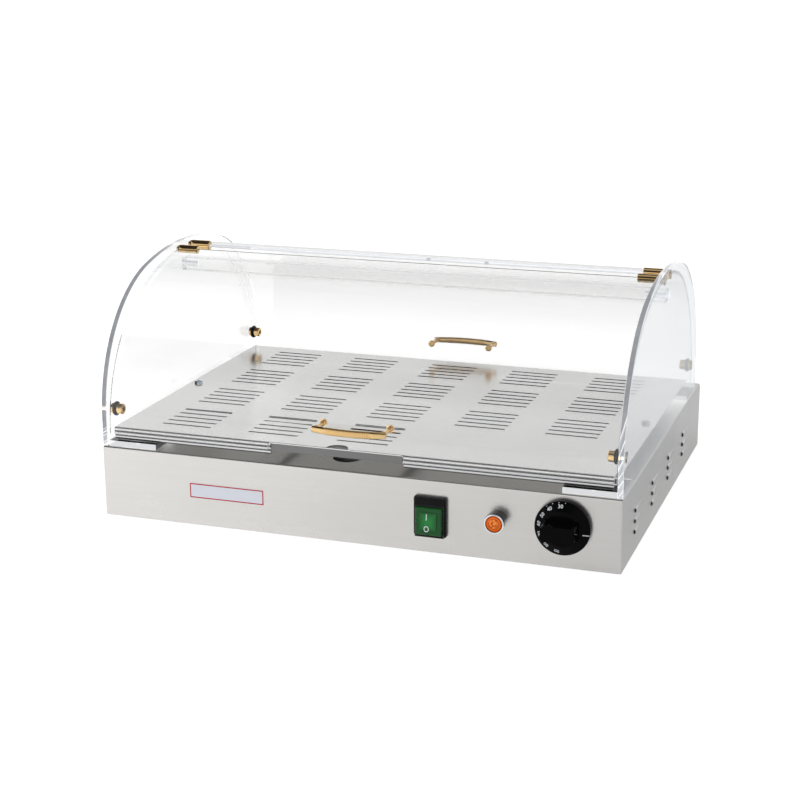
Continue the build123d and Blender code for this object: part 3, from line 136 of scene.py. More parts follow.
class LampSettings(bpy.types.PropertyGroup):
    ring_count: IntProperty(
        name="Rings", description="Number of moulded rings on the lamp's lens", default=3, min=1, max=8,
    )
    lens: FloatVectorProperty(
        name="Lens", description="Colour of the pilot lamp's lens", subtype="COLOR", size=3,
        default=(0.78, 0.125, 0.006), min=0, max=1,
    )
    rocker: FloatVectorProperty(
        name="Rocker", description="Colour of the rocker switch", subtype="COLOR", size=3,
        default=(0.014, 0.185, 0.036), min=0, max=1,
    )


class PlateSettings(bpy.types.PropertyGroup):
    width: FloatProperty(
        name="Width", description="Width of the bare plate on the front wall", subtype="DISTANCE",
        default=75 * MM, min=20 * MM, max=150 * MM,
    )
    height: FloatProperty(
        name="Height", description="Height of the bare plate", subtype="DISTANCE",
        default=14.6 * MM, min=5 * MM, max=40 * MM,
    )
    border: FloatVectorProperty(
        name="Border", description="Colour of the plate's printed border", subtype="COLOR", size=3,
        default=(0.62, 0.006, 0.012), min=0, max=1,
    )


class StageSettings(bpy.types.PropertyGroup):
    floor: FloatVectorProperty(
        name="Floor", description="Colour of the plain floor", subtype="COLOR", size=3,
        default=(0.80, 0.80, 0.80), min=0, max=1,
    )
    key_watts: FloatProperty(
        name="Key light", description="Power of the large soft lamp", unit="POWER", default=26, min=0,
    )
    fill_watts: FloatProperty(
        name="Fill light", description="Power of the smaller soft lamp", unit="POWER", default=6, min=0,
    )


class CaseSettings(bpy.types.PropertyGroup):
    metal: PointerProperty(name="Metal", description="Metal finishes", type=MetalSettings)
    acrylic: PointerProperty(name="Acrylic", description="Clear sheet", type=AcrylicSettings)
    handle: PointerProperty(name="Handles", description="Brass handles", type=HandleSettings)
    dial: PointerProperty(name="Dial", description="Thermostat dial", type=DialSettings)
    lamp: PointerProperty(name="Lamp and switch", description="Pilot lamp and rocker", type=LampSettings)
    plate: PointerProperty(name="Plate", description="Bare front plate", type=PlateSettings)
    stage: PointerProperty(name="Stage", description="Floor and lights", type=StageSettings)


# Shader node groups that several finishes share


def new_group(name, inputs, outputs):
    """An empty shader node group with float, vector or colour sockets, and its input and output nodes."""
    group = bpy.data.node_groups.new(name, "ShaderNodeTree")
    for label, kind, value in inputs:
        socket = group.interface.new_socket(label, in_out="INPUT", socket_type=kind)
        socket.default_value = value
    for label, kind in outputs:
        group.interface.new_socket(label, in_out="OUTPUT", socket_type=kind)
    return group, group.nodes.new("NodeGroupInput"), group.nodes.new("NodeGroupOutput")


def math_node(tree, operation, a, b=None, clamp=False):
    """A Math node fed by sockets or numbers; gives its output socket."""
    node = tree.nodes.new("ShaderNodeMath")
    node.operation = operation
    node.use_clamp = clamp
    for socket, value in zip(node.inputs, (a, b)):
        if value is None:
            continue
        if isinstance(value, (int, float)):
            socket.default_value = value
        else:
            tree.links.new(value, socket)
    return node.outputs[0]


def noise_node(tree, vector, scale, detail=2.0, roughness=0.5):
    """A 3D noise texture; gives its factor socket."""
    node = tree.nodes.new("ShaderNodeTexNoise")
    node.inputs["Detail"].default_value = detail
    node.inputs["Roughness"].default_value = roughness
    tree.links.new(vector, node.inputs["Vector"])
    if isinstance(scale, (int, float)):
        node.inputs["Scale"].default_value = scale
    else:
        tree.links.new(scale, node.inputs["Scale"])
    return node.outputs["Fac"]


def range_node(tree, value, low, high, to_low=0.0, to_high=1.0):
    """A clamped Map Range; limits may be numbers or sockets. Gives its result socket."""
    node = tree.nodes.new("ShaderNodeMapRange")
    limits = {"From Min": low, "From Max": high, "To Min": to_low, "To Max": to_high}
    for label, item in {"Value": value, **limits}.items():
        if isinstance(item, (int, float)):
            node.inputs[label].default_value = item
        else:
            tree.links.new(item, node.inputs[label])
    return node.outputs["Result"]


def mix_colours(tree, factor, a, b):
    """A colour mix; a and b are colours or sockets."""
    node = tree.nodes.new("ShaderNodeMix")
    node.data_type = "RGBA"
    if isinstance(factor, (int, float)):
        node.inputs["Factor"].default_value = factor
    else:
        tree.links.new(factor, node.inputs["Factor"])
    for socket, item in ((node.inputs[6], a), (node.inputs[7], b)):
        if isinstance(item, (tuple, list, Vector)) or hasattr(item, "hsv"):
            socket.default_value = (*item[:3], 1.0)
        else:
            tree.links.new(item, socket)
    return node.outputs[2]


def make_brushed_grain():
    """Fine strokes along one axis. Stretch is the strokes' lengths per axis, and Tone is from 0 to 1."""
    group, start, end = new_group(
        "Brushed grain",
        [("Vector", "NodeSocketVector", (0, 0, 0)), ("Stretch", "NodeSocketVector", (1, 1, 1)),
         ("Fineness", "NodeSocketFloat", 60.0), ("Contrast", "NodeSocketFloat", 0.5)],
        [("Tone", "NodeSocketFloat"), ("Height", "NodeSocketFloat")],
    )
    place = group.nodes.new("ShaderNodeVectorMath")
    place.operation = "DIVIDE"
    group.links.new(start.outputs["Vector"], place.inputs[0])
    group.links.new(start.outputs["Stretch"], place.inputs[1])
    strokes = noise_node(group, place.outputs[0], start.outputs["Fineness"], 3.0, 0.6)
    coarse = math_node(group, "MULTIPLY", start.outputs["Fineness"], 0.17)
    bands = noise_node(group, place.outputs[0], coarse, 2.0, 0.5)
    fine_part = math_node(group, "MULTIPLY", strokes, 0.6)
    both = math_node(group, "ADD", fine_part, math_node(group, "MULTIPLY", bands, 0.4))
    swing = math_node(group, "MULTIPLY", math_node(group, "SUBTRACT", both, 0.5), start.outputs["Contrast"])
    tone = math_node(group, "ADD", math_node(group, "MULTIPLY", swing, 2.0), 0.5, clamp=True)
    group.links.new(tone, end.inputs["Tone"])
    group.links.new(strokes, end.inputs["Height"])
    return group


def make_surface_haze():
    """Soft patches that lift a surface's roughness from Low to High, as handling and wiping leave them."""
    group, start, end = new_group(
        "Surface haze",
        [("Vector", "NodeSocketVector", (0, 0, 0)), ("Scale", "NodeSocketFloat", 12.0),
         ("Low", "NodeSocketFloat", 0.2), ("High", "NodeSocketFloat", 0.4)],
        [("Roughness", "NodeSocketFloat"), ("Mask", "NodeSocketFloat")],
    )
    patches = noise_node(group, start.outputs["Vector"], start.outputs["Scale"], 4.0, 0.55)
    mask = range_node(group, patches, 0.35, 0.68)
    group.links.new(mask, end.inputs["Mask"])
    rough = range_node(group, mask, 0.0, 1.0, start.outputs["Low"], start.outputs["High"])
    group.links.new(rough, end.inputs["Roughness"])
    return group


def make_moulded_grain():
    """Fine pebbled texture of moulded plastic and rubber, with a few brighter specks of dust."""
    group, start, end = new_group(
        "Moulded grain",
        [("Vector", "NodeSocketVector", (0, 0, 0)), ("Scale", "NodeSocketFloat", 900.0),
         ("Dust", "NodeSocketFloat", 0.2)],
        [("Height", "NodeSocketFloat"), ("Dust", "NodeSocketFloat")],
    )
    cells = group.nodes.new("ShaderNodeTexVoronoi")
    group.links.new(start.outputs["Vector"], cells.inputs["Vector"])
    group.links.new(start.outputs["Scale"], cells.inputs["Scale"])
    group.links.new(cells.outputs["Distance"], end.inputs["Height"])
    coarse = math_node(group, "MULTIPLY", start.outputs["Scale"], 0.35)
    patches = noise_node(group, start.outputs["Vector"], coarse, 5.0, 0.7)
    specks = range_node(group, patches, 0.62, 0.78)
    group.links.new(math_node(group, "MULTIPLY", specks, start.outputs["Dust"]), end.inputs["Dust"])
    return group


GROUPS = {}


def shared(name):
    """One of the shared groups, built when it is first asked for."""
    makers = {"grain": make_brushed_grain, "haze": make_surface_haze, "moulded": make_moulded_grain}
    if name not in GROUPS:
        GROUPS[name] = makers[name]()
    return GROUPS[name]


# Finishes


class Finish:
    """A material with a Principled BSDF and object coordinates, to which a finish adds its own nodes."""

    def __init__(self, name, **values):
        self.material = bpy.data.materials.new(name)
        self.material.use_nodes = True
        self.tree = self.material.node_tree
        self.shader = self.tree.nodes["Principled BSDF"]
        place = self.tree.nodes.new("ShaderNodeTexCoord")
        self.coords = place.outputs["Object"]
        self.normal = place.outputs["Normal"]
        for label, value in values.items():
            self.shader.inputs[label.replace("_", " ")].default_value = value

    def group(self, name, vector=None, **values):
        node = self.tree.nodes.new("ShaderNodeGroup")
        node.node_tree = shared(name)
        self.tree.links.new(vector or self.coords, node.inputs["Vector"])
        for label, value in values.items():
            node.inputs[label].default_value = value
        return node

    def feed(self, label, socket):
        self.tree.links.new(socket, self.shader.inputs[label])

    def bump(self, height, distance, strength=0.4):
        node = self.tree.nodes.new("ShaderNodeBump")
        node.inputs["Distance"].default_value = distance
        node.inputs["Strength"].default_value = strength
        self.tree.links.new(height, node.inputs["Height"])
        self.feed("Normal", node.outputs["Normal"])

    def facing(self, axis, either_way=True):
        """How far the surface faces along one of the object's axes, or along it either way."""
        parts = self.tree.nodes.new("ShaderNodeSeparateXYZ")
        self.tree.links.new(self.normal, parts.inputs["Vector"])
        return math_node(self.tree, "ABSOLUTE", parts.outputs[axis]) if either_way else parts.outputs[axis]

    def around(self, centre):
        """Object coordinates counted from a point."""
        node = self.tree.nodes.new("ShaderNodeMapping")
        node.vector_type = "TEXTURE"
        node.inputs["Location"].default_value = centre
        self.tree.links.new(self.coords, node.inputs["Vector"])
        return node.outputs["Vector"]


def shade(colour, factor):
    """A colour made lighter or darker."""
    return tuple(min(1.0, channel * factor) for channel in colour[:3])


def brushed_metal(
    name, colour, stretch, low, high, contrast=0.5, depth=0.01 * MM, dark=None, lit=None, metal=1.0,
):
    """Brushed or satin metal with its strokes along the longest side of stretch. Dark builds the mask of
    places painted near black as painted shade, and lit the mask of places given a grey painted glow."""
    finish = Finish(name, Metallic=metal)
    grain = finish.group("grain", Stretch=stretch, Fineness=1.6, Contrast=contrast)
    haze = finish.group("haze", Scale=9.0, Low=low, High=high)
    tone = mix_colours(finish.tree, grain.outputs["Tone"], shade(colour, 0.93), shade(colour, 1.05))
    wear = math_node(finish.tree, "MULTIPLY", haze.outputs["Mask"], 0.35)
    worn_and_painted_shade = mix_colours(finish.tree, wear, tone, shade(colour, 0.95))
    # Painted shade: where the dark mask is set, the colour goes near black.
    if dark:
        worn_and_painted_shade = mix_colours(finish.tree, dark(finish), worn_and_painted_shade, shade(colour, 0.02))
    # Painted light: where the lit mask is set, the metal glows grey.
    if lit:
        painted_glow = mix_colours(finish.tree, lit(finish), (0.0, 0.0, 0.0), (0.24, 0.24, 0.235))
        finish.feed("Emission Color", painted_glow)
        finish.shader.inputs["Emission Strength"].default_value = 1.0
    finish.feed("Base Color", worn_and_painted_shade)
    finish.feed("Roughness", haze.outputs["Roughness"])
    finish.bump(grain.outputs["Height"], depth, 0.3)
    return finish.material


def polished_metal(
    name, colour, low, high, tarnish=0.12, scale=60.0, metal=1.0, dark=None, **values,
):
    """Plated or polished metal with faint tarnish and wiping marks. Dark builds the mask of places painted
    near black as painted shade.
    """
    finish = Finish(name, Metallic=metal, **values)
    haze = finish.group("haze", Scale=scale, Low=low, High=high)
    grain = finish.group("grain", Stretch=(0.02, 0.02, 0.02), Fineness=8.0, Contrast=0.8)
    tarnish_and_painted_shade = mix_colours(finish.tree, grain.outputs["Tone"], shade(colour, 1 - tarnish), colour)
    # Painted shade: where the dark mask is set, the colour goes near black.
    if dark:
        tarnish_and_painted_shade = mix_colours(finish.tree, dark(finish), tarnish_and_painted_shade, shade(colour, 0.03))
    finish.feed("Base Color", tarnish_and_painted_shade)
    finish.feed("Roughness", haze.outputs["Roughness"])
    finish.bump(grain.outputs["Height"], 0.01 * MM, 0.15)
    return finish.material


def zinc_sheet(name, colour, low=0.32, high=0.5):
    """Galvanised sheet with its soft spangle."""
    finish = Finish(name, Metallic=0.9)
    spangle = finish.tree.nodes.new("ShaderNodeTexVoronoi")
    spangle.inputs["Scale"].default_value = 110.0
    finish.tree.links.new(finish.coords, spangle.inputs["Vector"])
    cell = finish.tree.nodes.new("ShaderNodeSeparateColor")
    finish.tree.links.new(spangle.outputs["Color"], cell.inputs["Color"])
    haze = finish.group("haze", Scale=20.0, Low=low, High=high)
    grey = mix_colours(finish.tree, cell.outputs["Red"], shade(colour, 0.85), shade(colour, 1.08))
    finish.feed("Base Color", grey)
    finish.feed("Roughness", haze.outputs["Roughness"])
    finish.bump(spangle.outputs["Distance"], 0.02 * MM, 0.2)
    return finish.material


def clear_sheet(name, settings, edges=None, dark=None):
    """Clear acrylic with the faintest cloud in its colour and a few wiping marks. Edges builds the mask of
    its cut edges and the mask of their bevels, which get a painted glow, and dark the mask of edges painted
    near black as painted shade."""
    finish = Finish(name, Metallic=0.0, Transmission_Weight=1.0, IOR=settings.refraction)
    tint = tuple(settings.tint)
    cloud = finish.group("haze", Scale=7.0, Low=0.0, High=0.012)
    colour = mix_colours(finish.tree, cloud.outputs["Mask"], tint, shade(tint, 0.994))
    # Painted shade: edges in the dark mask turn near black.
    if dark:
        colour = mix_colours(finish.tree, dark(finish), colour, shade(tint, 0.05))
    finish.feed("Base Color", colour)
    finish.feed("Roughness", cloud.outputs["Roughness"])
    # Painted light: the cut edges and their bevels glow with the edge and corner colours.
    if edges:
        cut, corner = edges(finish)
        uneven = finish.group("grain", Stretch=(0.006, 0.006, 0.006), Fineness=1.0, Contrast=0.5)
        edge = tuple(settings.edge)
        painted_edge_glow = mix_colours(finish.tree, uneven.outputs["Tone"], shade(edge, 0.6), shade(edge, 1.4))
        painted_edge_glow = mix_colours(finish.tree, cut, (0.0, 0.0, 0.0), painted_edge_glow)
        finish.feed("Emission Color", mix_colours(finish.tree, corner, painted_edge_glow, tuple(settings.corner)))
        finish.shader.inputs["Emission Strength"].default_value = 1.0
    return finish.material


def level(tree, value, limit, above=True):
    """1 where a value is above a limit, or below it, and 0 elsewhere."""
    return math_node(tree, "GREATER_THAN" if above else "LESS_THAN", value, limit)


def panel_edges(finish):
    """The cut outline of a side panel above its foot, which gets a painted glow: faces that look along the
    panel, and their bevels.
    """
    tree = finish.tree
    side = finish.facing("X")
    cut = level(tree, side, 0.85, False)
    cut = math_node(tree, "MULTIPLY", cut, level(tree, finish.facing("Z", False), -0.5))
    return cut, math_node(tree, "MULTIPLY", cut, level(tree, side, 0.5))


def door_edges(low, high, side_share, top_share):
    """The cut ends of a door, which get a painted glow: its bottom, and its two sides and its top edge, which
    glow by a share.
    """

    def masks(finish):
        tree = finish.tree
        parts = tree.nodes.new("ShaderNodeSeparateXYZ")
        tree.links.new(finish.coords, parts.inputs["Vector"])
        side = level(tree, finish.facing("X"), 0.7)
        lowest = level(tree, parts.outputs["Z"], low + 1 * MM, False)
        foot = math_node(tree, "MULTIPLY", level(tree, finish.facing("Z"), 0.7), lowest)
        top = math_node(tree, "MULTIPLY", door_top(high)(finish), top_share)
        both = math_node(tree, "MAXIMUM", foot, top)
        cut = math_node(tree, "MAXIMUM", math_node(tree, "MULTIPLY", side, side_share), both)
        return cut, math_node(tree, "MULTIPLY", top, 0.6)

    return masks


def door_top(high):
    """The cut end of a door at its hinges."""

    def mask(finish):
        tree = finish.tree
        parts = tree.nodes.new("ShaderNodeSeparateXYZ")
        tree.links.new(finish.coords, parts.inputs["Vector"])
        end = level(tree, finish.facing("Y"), 0.7)
        return math_node(tree, "MULTIPLY", end, level(tree, parts.outputs["Z"], high - 5 * MM))

    return mask


def bar_foot(finish):
    """The lower edge of the bar, which gets painted shade."""
    return level(finish.tree, finish.facing("Z", False), -0.6, False)


def plate_edges(finish):
    """The four sides of a flat foot plate, which get a painted glow. Those that face the front glow almost
    white.
    """
    side = level(finish.tree, finish.facing("Z"), 0.5, False)
    front = level(finish.tree, finish.facing("Y", False), -0.5, False)
    cut = math_node(finish.tree, "MULTIPLY", side, 0.2)
    return cut, math_node(finish.tree, "MULTIPLY", front, 0.9)


def moulded(name, colour, low, high, scale=900.0, dust=0.15, depth=0.02 * MM, **values):
    """Moulded plastic, rubber or ceramic with a fine grain and a little dust."""
    finish = Finish(name, **values)
    grain = finish.group("moulded", Scale=scale, Dust=dust)
    haze = finish.group("haze", Scale=35.0, Low=low, High=high)
    base = mix_colours(finish.tree, haze.outputs["Mask"], colour, shade(colour, 1.12))
    finish.feed("Base Color", mix_colours(finish.tree, grain.outputs["Dust"], base, (0.45, 0.44, 0.42)))
    finish.feed("Roughness", haze.outputs["Roughness"])
    finish.bump(grain.outputs["Height"], depth, 0.35)
    return finish.material


def printed_ink(name, colour, **values):
    """Screen-printed ink with slightly uneven cover."""
    finish = Finish(name, **values)
    haze = finish.group("haze", Scale=400.0, Low=0.35, High=0.55)
    finish.feed("Base Color", mix_colours(finish.tree, haze.outputs["Mask"], colour, shade(colour, 0.86)))
    finish.feed("Roughness", haze.outputs["Roughness"])
    return finish.material


def lamp_lens_finish(colour):
    """Orange lens: a painted glow all over and painted glints in its middle, darker towards its rim, with a
    ribbed reflector seen through it.
    """
    finish = Finish(
        "Orange lens", Metallic=0.0, Coat_Weight=0.05, Coat_Roughness=0.08, Specular_IOR_Level=0.12,
    )
    low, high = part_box("lamp_lens")
    centre = (low + high) / 2
    across = finish.around(tuple(centre))
    flat = finish.tree.nodes.new("ShaderNodeVectorMath")
    flat.operation = "MULTIPLY"
    flat.inputs[1].default_value = (1.0, 0.0, 1.0)
    finish.tree.links.new(across, flat.inputs[0])
    reach = finish.tree.nodes.new("ShaderNodeVectorMath")
    reach.operation = "LENGTH"
    finish.tree.links.new(flat.outputs[0], reach.inputs[0])
    radius = (high.x - low.x) / 2
    share = math_node(finish.tree, "DIVIDE", reach.outputs["Value"], radius)
    waves = math_node(finish.tree, "SINE", math_node(finish.tree, "MULTIPLY", share, 6.0 * pi))
    rings = range_node(finish.tree, waves, -1.0, 1.0)
    # Painted glints: bright spots scattered over the lens's middle.
    spots = noise_node(finish.tree, across, 420.0, 2.0, 0.6)
    glint = range_node(finish.tree, spots, 0.4, 0.62)
    bright = mix_colours(finish.tree, glint, shade(colour, 0.55), (1.0, 0.36, 0.09))
    dark = mix_colours(finish.tree, rings, shade(colour, 0.42), colour)
    body = mix_colours(finish.tree, range_node(finish.tree, share, 0.25, 0.8), bright, dark)
    finish.feed("Base Color", body)
    # Painted light: the lens glows with its own colour.
    finish.feed("Emission Color", body)
    finish.shader.inputs["Emission Strength"].default_value = 0.35
    haze = finish.group("haze", Scale=300.0, Low=0.1, High=0.2)
    finish.feed("Roughness", haze.outputs["Roughness"])
    finish.bump(rings, 0.12 * MM, 0.5)
    return finish.material


def rocker_finish(name, colour, inner):
    """Green rocker: a translucent moulding, darker at the border of its window as painted shade and, on the
    lens, lighter towards the middle as painted light.
    """
    finish = Finish(name, Metallic=0.0, Coat_Weight=0.1, Coat_Roughness=0.1, Specular_IOR_Level=0.25)
    low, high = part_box("rocker_lens")
    near = finish.around(tuple((low + high) / 2))
    parts = finish.tree.nodes.new("ShaderNodeSeparateXYZ")
    finish.tree.links.new(near, parts.inputs["Vector"])
    side = math_node(finish.tree, "ABSOLUTE", parts.outputs["X"])
    rise = math_node(finish.tree, "ABSOLUTE", parts.outputs["Z"])
    edge = math_node(finish.tree, "MAXIMUM", side, rise)
    share = range_node(finish.tree, edge, (high.x - low.x) * 0.2, (high.x - low.x) * 0.52)
    middle = shade(colour, 1.35) if inner else colour
    finish.feed("Base Color", mix_colours(finish.tree, share, middle, shade(colour, 0.5)))
    haze = finish.group("haze", Scale=200.0, Low=0.18, High=0.3)
    finish.feed("Roughness", haze.outputs["Roughness"])
    grain = finish.group("moulded", Scale=1200.0, Dust=0.0)
    finish.bump(grain.outputs["Height"], 0.01 * MM, 0.2)
    return finish.material


def finish_nodes(material, *names):
    """Gives CAD nodes a finish through their material slots."""
    for name in names:
        target = NODES[name]
        if not target.material_slots:
            target.data.materials.append(material)
        for slot in target.material_slots:
            slot.material = material


# Mesh helpers


def link(mesh, name, *materials):
    """A new object for a mesh, in the scene, with its materials."""
    piece = bpy.data.objects.new(name, mesh)
    bpy.context.scene.collection.objects.link(piece)
    for material in materials:
        mesh.materials.append(material)
    return piece


def smooth(mesh, angle=radians(35)):
    """Smooth shading that keeps edges sharper than an angle."""
    mesh.shade_smooth()
    mesh.set_sharp_from_angle(angle=angle)


def skin_rings(bm, rings, cap_start=True, cap_end=True):
    """Quads between closed rings of points that have equal counts, with caps."""
    made = [[bm.verts.new(point) for point in ring] for ring in rings]
    count = len(made[0])
    for a, b in zip(made, made[1:]):
        for i in range(count):
            j = (i + 1) % count
            bm.faces.new((a[i], a[j], b[j], b[i]))
    if cap_start:
        bm.faces.new(made[0][::-1])
    if cap_end:
        bm.faces.new(made[-1])


def mesh_of(bm, name):
    """Closes a bmesh into a mesh with its faces outwards."""
    bmesh.ops.remove_doubles(bm, verts=bm.verts, dist=1e-7)
    bmesh.ops.recalc_face_normals(bm, faces=bm.faces)
    mesh = bpy.data.meshes.new(name)
    bm.to_mesh(mesh)
    bm.free()
    return mesh


def text_mesh(words, size, depth, name):
    """Upright words as a flat mesh in the XY plane, centred, with a little depth."""
    curve = bpy.data.curves.new(name, "FONT")
    curve.body = words
    curve.size = size
    curve.align_x = "CENTER"
    curve.align_y = "CENTER"
    curve.extrude = depth / 2
    curve.offset = size * 0.018
    curve.resolution_u = 3
    holder = bpy.data.objects.new(name, curve)
    bpy.context.scene.collection.objects.link(holder)
    bpy.context.view_layer.update()
    mesh = bpy.data.meshes.new_from_object(holder.evaluated_get(bpy.context.evaluated_depsgraph_get()))
    bpy.data.objects.remove(holder)
    return mesh


def bake(holder, name):
    """The evaluated mesh of an object with a Geometry Nodes modifier, as a plain object; the holder goes."""
    bpy.context.view_layer.update()
    mesh = bpy.data.meshes.new_from_object(holder.evaluated_get(bpy.context.evaluated_depsgraph_get()))
    bpy.data.objects.remove(holder)
    if not mesh.vertices:
        raise RuntimeError(f"{name}: the node tree made no mesh")
    piece = bpy.data.objects.new(name, mesh)
    bpy.context.scene.collection.objects.link(piece)
    return piece


def run_tree(tree, values, name):
    """Runs a Geometry Nodes tree on an empty mesh with its inputs set, and bakes the result."""
    holder = bpy.data.objects.new(name + "_source", bpy.data.meshes.new(name + "_source"))
    bpy.context.scene.collection.objects.link(holder)
    modifier = holder.modifiers.new(name, "NODES")
    modifier.node_group = tree
    sockets = {item.name: item.identifier for item in tree.interface.items_tree if item.in_out == "INPUT"}
    for label, value in values.items():
        modifier[sockets[label]] = value
    return bake(holder, name)


class Tree:
    """A Geometry Nodes tree with named inputs that ends in Realize Instances and Set Material."""

    def __init__(self, name, inputs):
        self.tree = bpy.data.node_groups.new(name, "GeometryNodeTree")
        self.tree.interface.new_socket("Geometry", in_out="INPUT", socket_type="NodeSocketGeometry")
        for label, kind in inputs:
            self.tree.interface.new_socket(label, in_out="INPUT", socket_type=kind)
        self.tree.interface.new_socket("Material", in_out="INPUT", socket_type="NodeSocketMaterial")
        self.tree.interface.new_socket("Geometry", in_out="OUTPUT", socket_type="NodeSocketGeometry")
        self.start = self.tree.nodes.new("NodeGroupInput")
        self.end = self.tree.nodes.new("NodeGroupOutput")

    def input(self, label):
        return self.start.outputs[label]

    def node(self, kind, settings=None, **links):
        """A node with its settings, and its inputs linked or set."""
        made = self.tree.nodes.new(kind)
        for label, value in (settings or {}).items():
            setattr(made, label, value)
        for label, value in links.items():
            socket = made.inputs[int(label[1:])] if label[0] == "_" else made.inputs[label.replace("_", " ")]
            if isinstance(value, bpy.types.NodeSocket):
                self.tree.links.new(value, socket)
            else:
                socket.default_value = value
        return made

    def finish(self, geometry):
        real = self.node("GeometryNodeRealizeInstances", Geometry=geometry)
        painted = self.node(
            "GeometryNodeSetMaterial", Geometry=real.outputs[0], Material=self.input("Material"),
        )
        self.tree.links.new(painted.outputs[0], self.end.inputs[0])
        return self.tree


# Handles


def leg_rings(x, z, root_y, bow_y, side):
    """Rings of a leg from the door's skin to the bow: a small disc, a slim neck and a flare into the bow."""
    length = abs(root_y - bow_y)
    outline = [
        (0.0, 2.5), (0.05, 2.6), (0.08, 2.5), (0.11, 2.0), (0.25, 1.9), (0.45, 2.1), (0.65, 2.45),
        (0.82, 2.9), (0.94, 3.0), (1.0, 2.3),
    ]
    rings = []
    for share, radius in outline:
        y = root_y + side * share * length
        ring = []
        for i in range(24):
            turn = 2 * pi * i / 24
            ring.append(Vector((x + radius * MM * cos(turn), y, z + radius * MM * sin(turn))))
        rings.append(ring)
    return rings


def arc_point(centre, half, bow, half_depth, side, t):
    """A point of the bow's middle line at t from -1 to 1, and its angle."""
    radius = (half**2 + bow**2) / (2 * bow)
    angle = asin(half / radius) * t
    fall = radius - radius * cos(angle)
    y = centre.y - side * (half_depth + fall)
    return Vector((centre.x + radius * sin(angle), y, centre.z)), angle


def bow_rings(centre, half, bow, half_height, half_depth, side, end_share, sunk):
    """Oval rings along the bow: full in its middle, tapering to rounded ends, sunk where its flutes are."""
    steps = 60
    caps = 4
    around = 28
    rings = []
    for step in range(-caps, steps + caps + 1):
        t = max(-1.0, min(1.0, 2 * step / steps - 1))
        cap = max(0, -step, step - steps) / caps
        point, angle = arc_point(centre, half, bow, half_depth, side, t)
        along = Vector((cos(angle), -side * sin(angle), 0))
        out = Vector((sin(angle), side * cos(angle), 0))
        taper = end_share + (1 - end_share) * (1 - abs(t) ** 2.2)
        shrink = max(0.1, sqrt(max(0.0, 1 - cap**2)))
        point = point + along * (1.0 * MM * sin(cap * pi / 2) * (1 if t > 0 else -1))
        low_part = sunk * max(0.0, min(1.0, (0.68 - abs(t)) / 0.08))
        ring = []
        for i in range(around):
            turn = 2 * pi * i / around
            up = (half_height - low_part) * taper * shrink * sin(turn)
            depth = (half_depth - low_part) * (0.7 + 0.3 * taper) * shrink * cos(turn)
            ring.append(point + Vector((0, 0, up)) + out * depth)
        rings.append(ring)
    return rings


def flute_tree():
    """Half-round beads round an oval bow, one on each of equally spaced points of an arc."""
    tree = Tree("Bow flutes", [
        ("Start", "NodeSocketVector"), ("Middle", "NodeSocketVector"), ("End", "NodeSocketVector"),
        ("Count", "NodeSocketInt"), ("Half Height", "NodeSocketFloat"), ("Half Depth", "NodeSocketFloat"),
        ("Bead", "NodeSocketFloat"),
    ])
    arc = tree.node(
        "GeometryNodeCurveArc", {"mode": "POINTS"}, Resolution=64, Start=tree.input("Start"),
        Middle=tree.input("Middle"), End=tree.input("End"),
    )
    points = tree.node(
        "GeometryNodeCurveToPoints", {"mode": "COUNT"}, Curve=arc.outputs[0], Count=tree.input("Count"),
    )
    loop = tree.node("GeometryNodeCurvePrimitiveCircle", {"mode": "RADIUS"}, Resolution=30, Radius=1.0)
    size = tree.node("ShaderNodeCombineXYZ", X=tree.input("Half Depth"), Y=tree.input("Half Height"), Z=1.0)
    oval = tree.node("GeometryNodeTransform", Geometry=loop.outputs[0], Scale=size.outputs[0])
    bead = tree.node(
        "GeometryNodeCurvePrimitiveCircle", {"mode": "RADIUS"}, Resolution=10, Radius=tree.input("Bead"),
    )
    ring = tree.node("GeometryNodeCurveToMesh", Curve=oval.outputs[0], Profile_Curve=bead.outputs[0])
    soft = tree.node("GeometryNodeSetShadeSmooth", Geometry=ring.outputs[0])
    placed = tree.node(
        "GeometryNodeInstanceOnPoints", Points=points.outputs["Points"], Instance=soft.outputs[0],
        Rotation=points.outputs["Rotation"],
    )
    return tree.finish(placed.outputs[0])


def build_handle(node, side, settings, material, tree):
    """The bow, legs and flutes that stand for one CAD handle."""
    low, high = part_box(node)
    screw_low, screw_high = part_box(node + "_screws")
    middle_x = (low.x + high.x) / 2
    z = (low.z + high.z) / 2
    half_height = (high.z - low.z) / 2
    outer = low.y if side < 0 else high.y
    half_depth = 2.4 * MM
    bow = 5.0 * MM
    half = (high.x - low.x) / 2 - 1.1 * MM
    head = 3.6 * MM
    leg_x = (screw_high.x - screw_low.x) / 2 - head
    centre = Vector((middle_x, outer, z))
    root_y = high.y if side < 0 else low.y

    bm = bmesh.new()
    sunk = 0.6 * MM
    skin_rings(bm, bow_rings(centre, half, bow, half_height, half_depth, side, settings.end_share, sunk))
    reach = leg_x / half
    for sign in (-1, 1):
        at_bow = arc_point(centre, half, bow, half_depth, side, sign * reach)[0]
        skin_rings(bm, leg_rings(middle_x + sign * leg_x, z, root_y, at_bow.y, side))
    mesh = mesh_of(bm, node + "_bow")
    smooth(mesh)
    body = "front_door" if side < 0 else "rear_door"
    piece = link(mesh, node + "_bow", material)
    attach(piece, body)
    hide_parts(node)

    span = settings.flute_pitch * (settings.flute_count - 1) / 2
    ends = [arc_point(centre, half, bow, half_depth, side, sign * span / half)[0] for sign in (-1, 1)]
    crest = arc_point(centre, half, bow, half_depth, side, 0.0)[0]
    bead = settings.flute_pitch * 0.5
    flutes = run_tree(tree, {
        "Start": ends[0], "Middle": crest, "End": ends[1], "Count": settings.flute_count,
        "Half Height": half_height - bead, "Half Depth": half_depth - bead, "Bead": bead,
        "Material": material,
    }, node + "_flutes")
    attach(flutes, body)


# Operators: one for each piece or group of like pieces


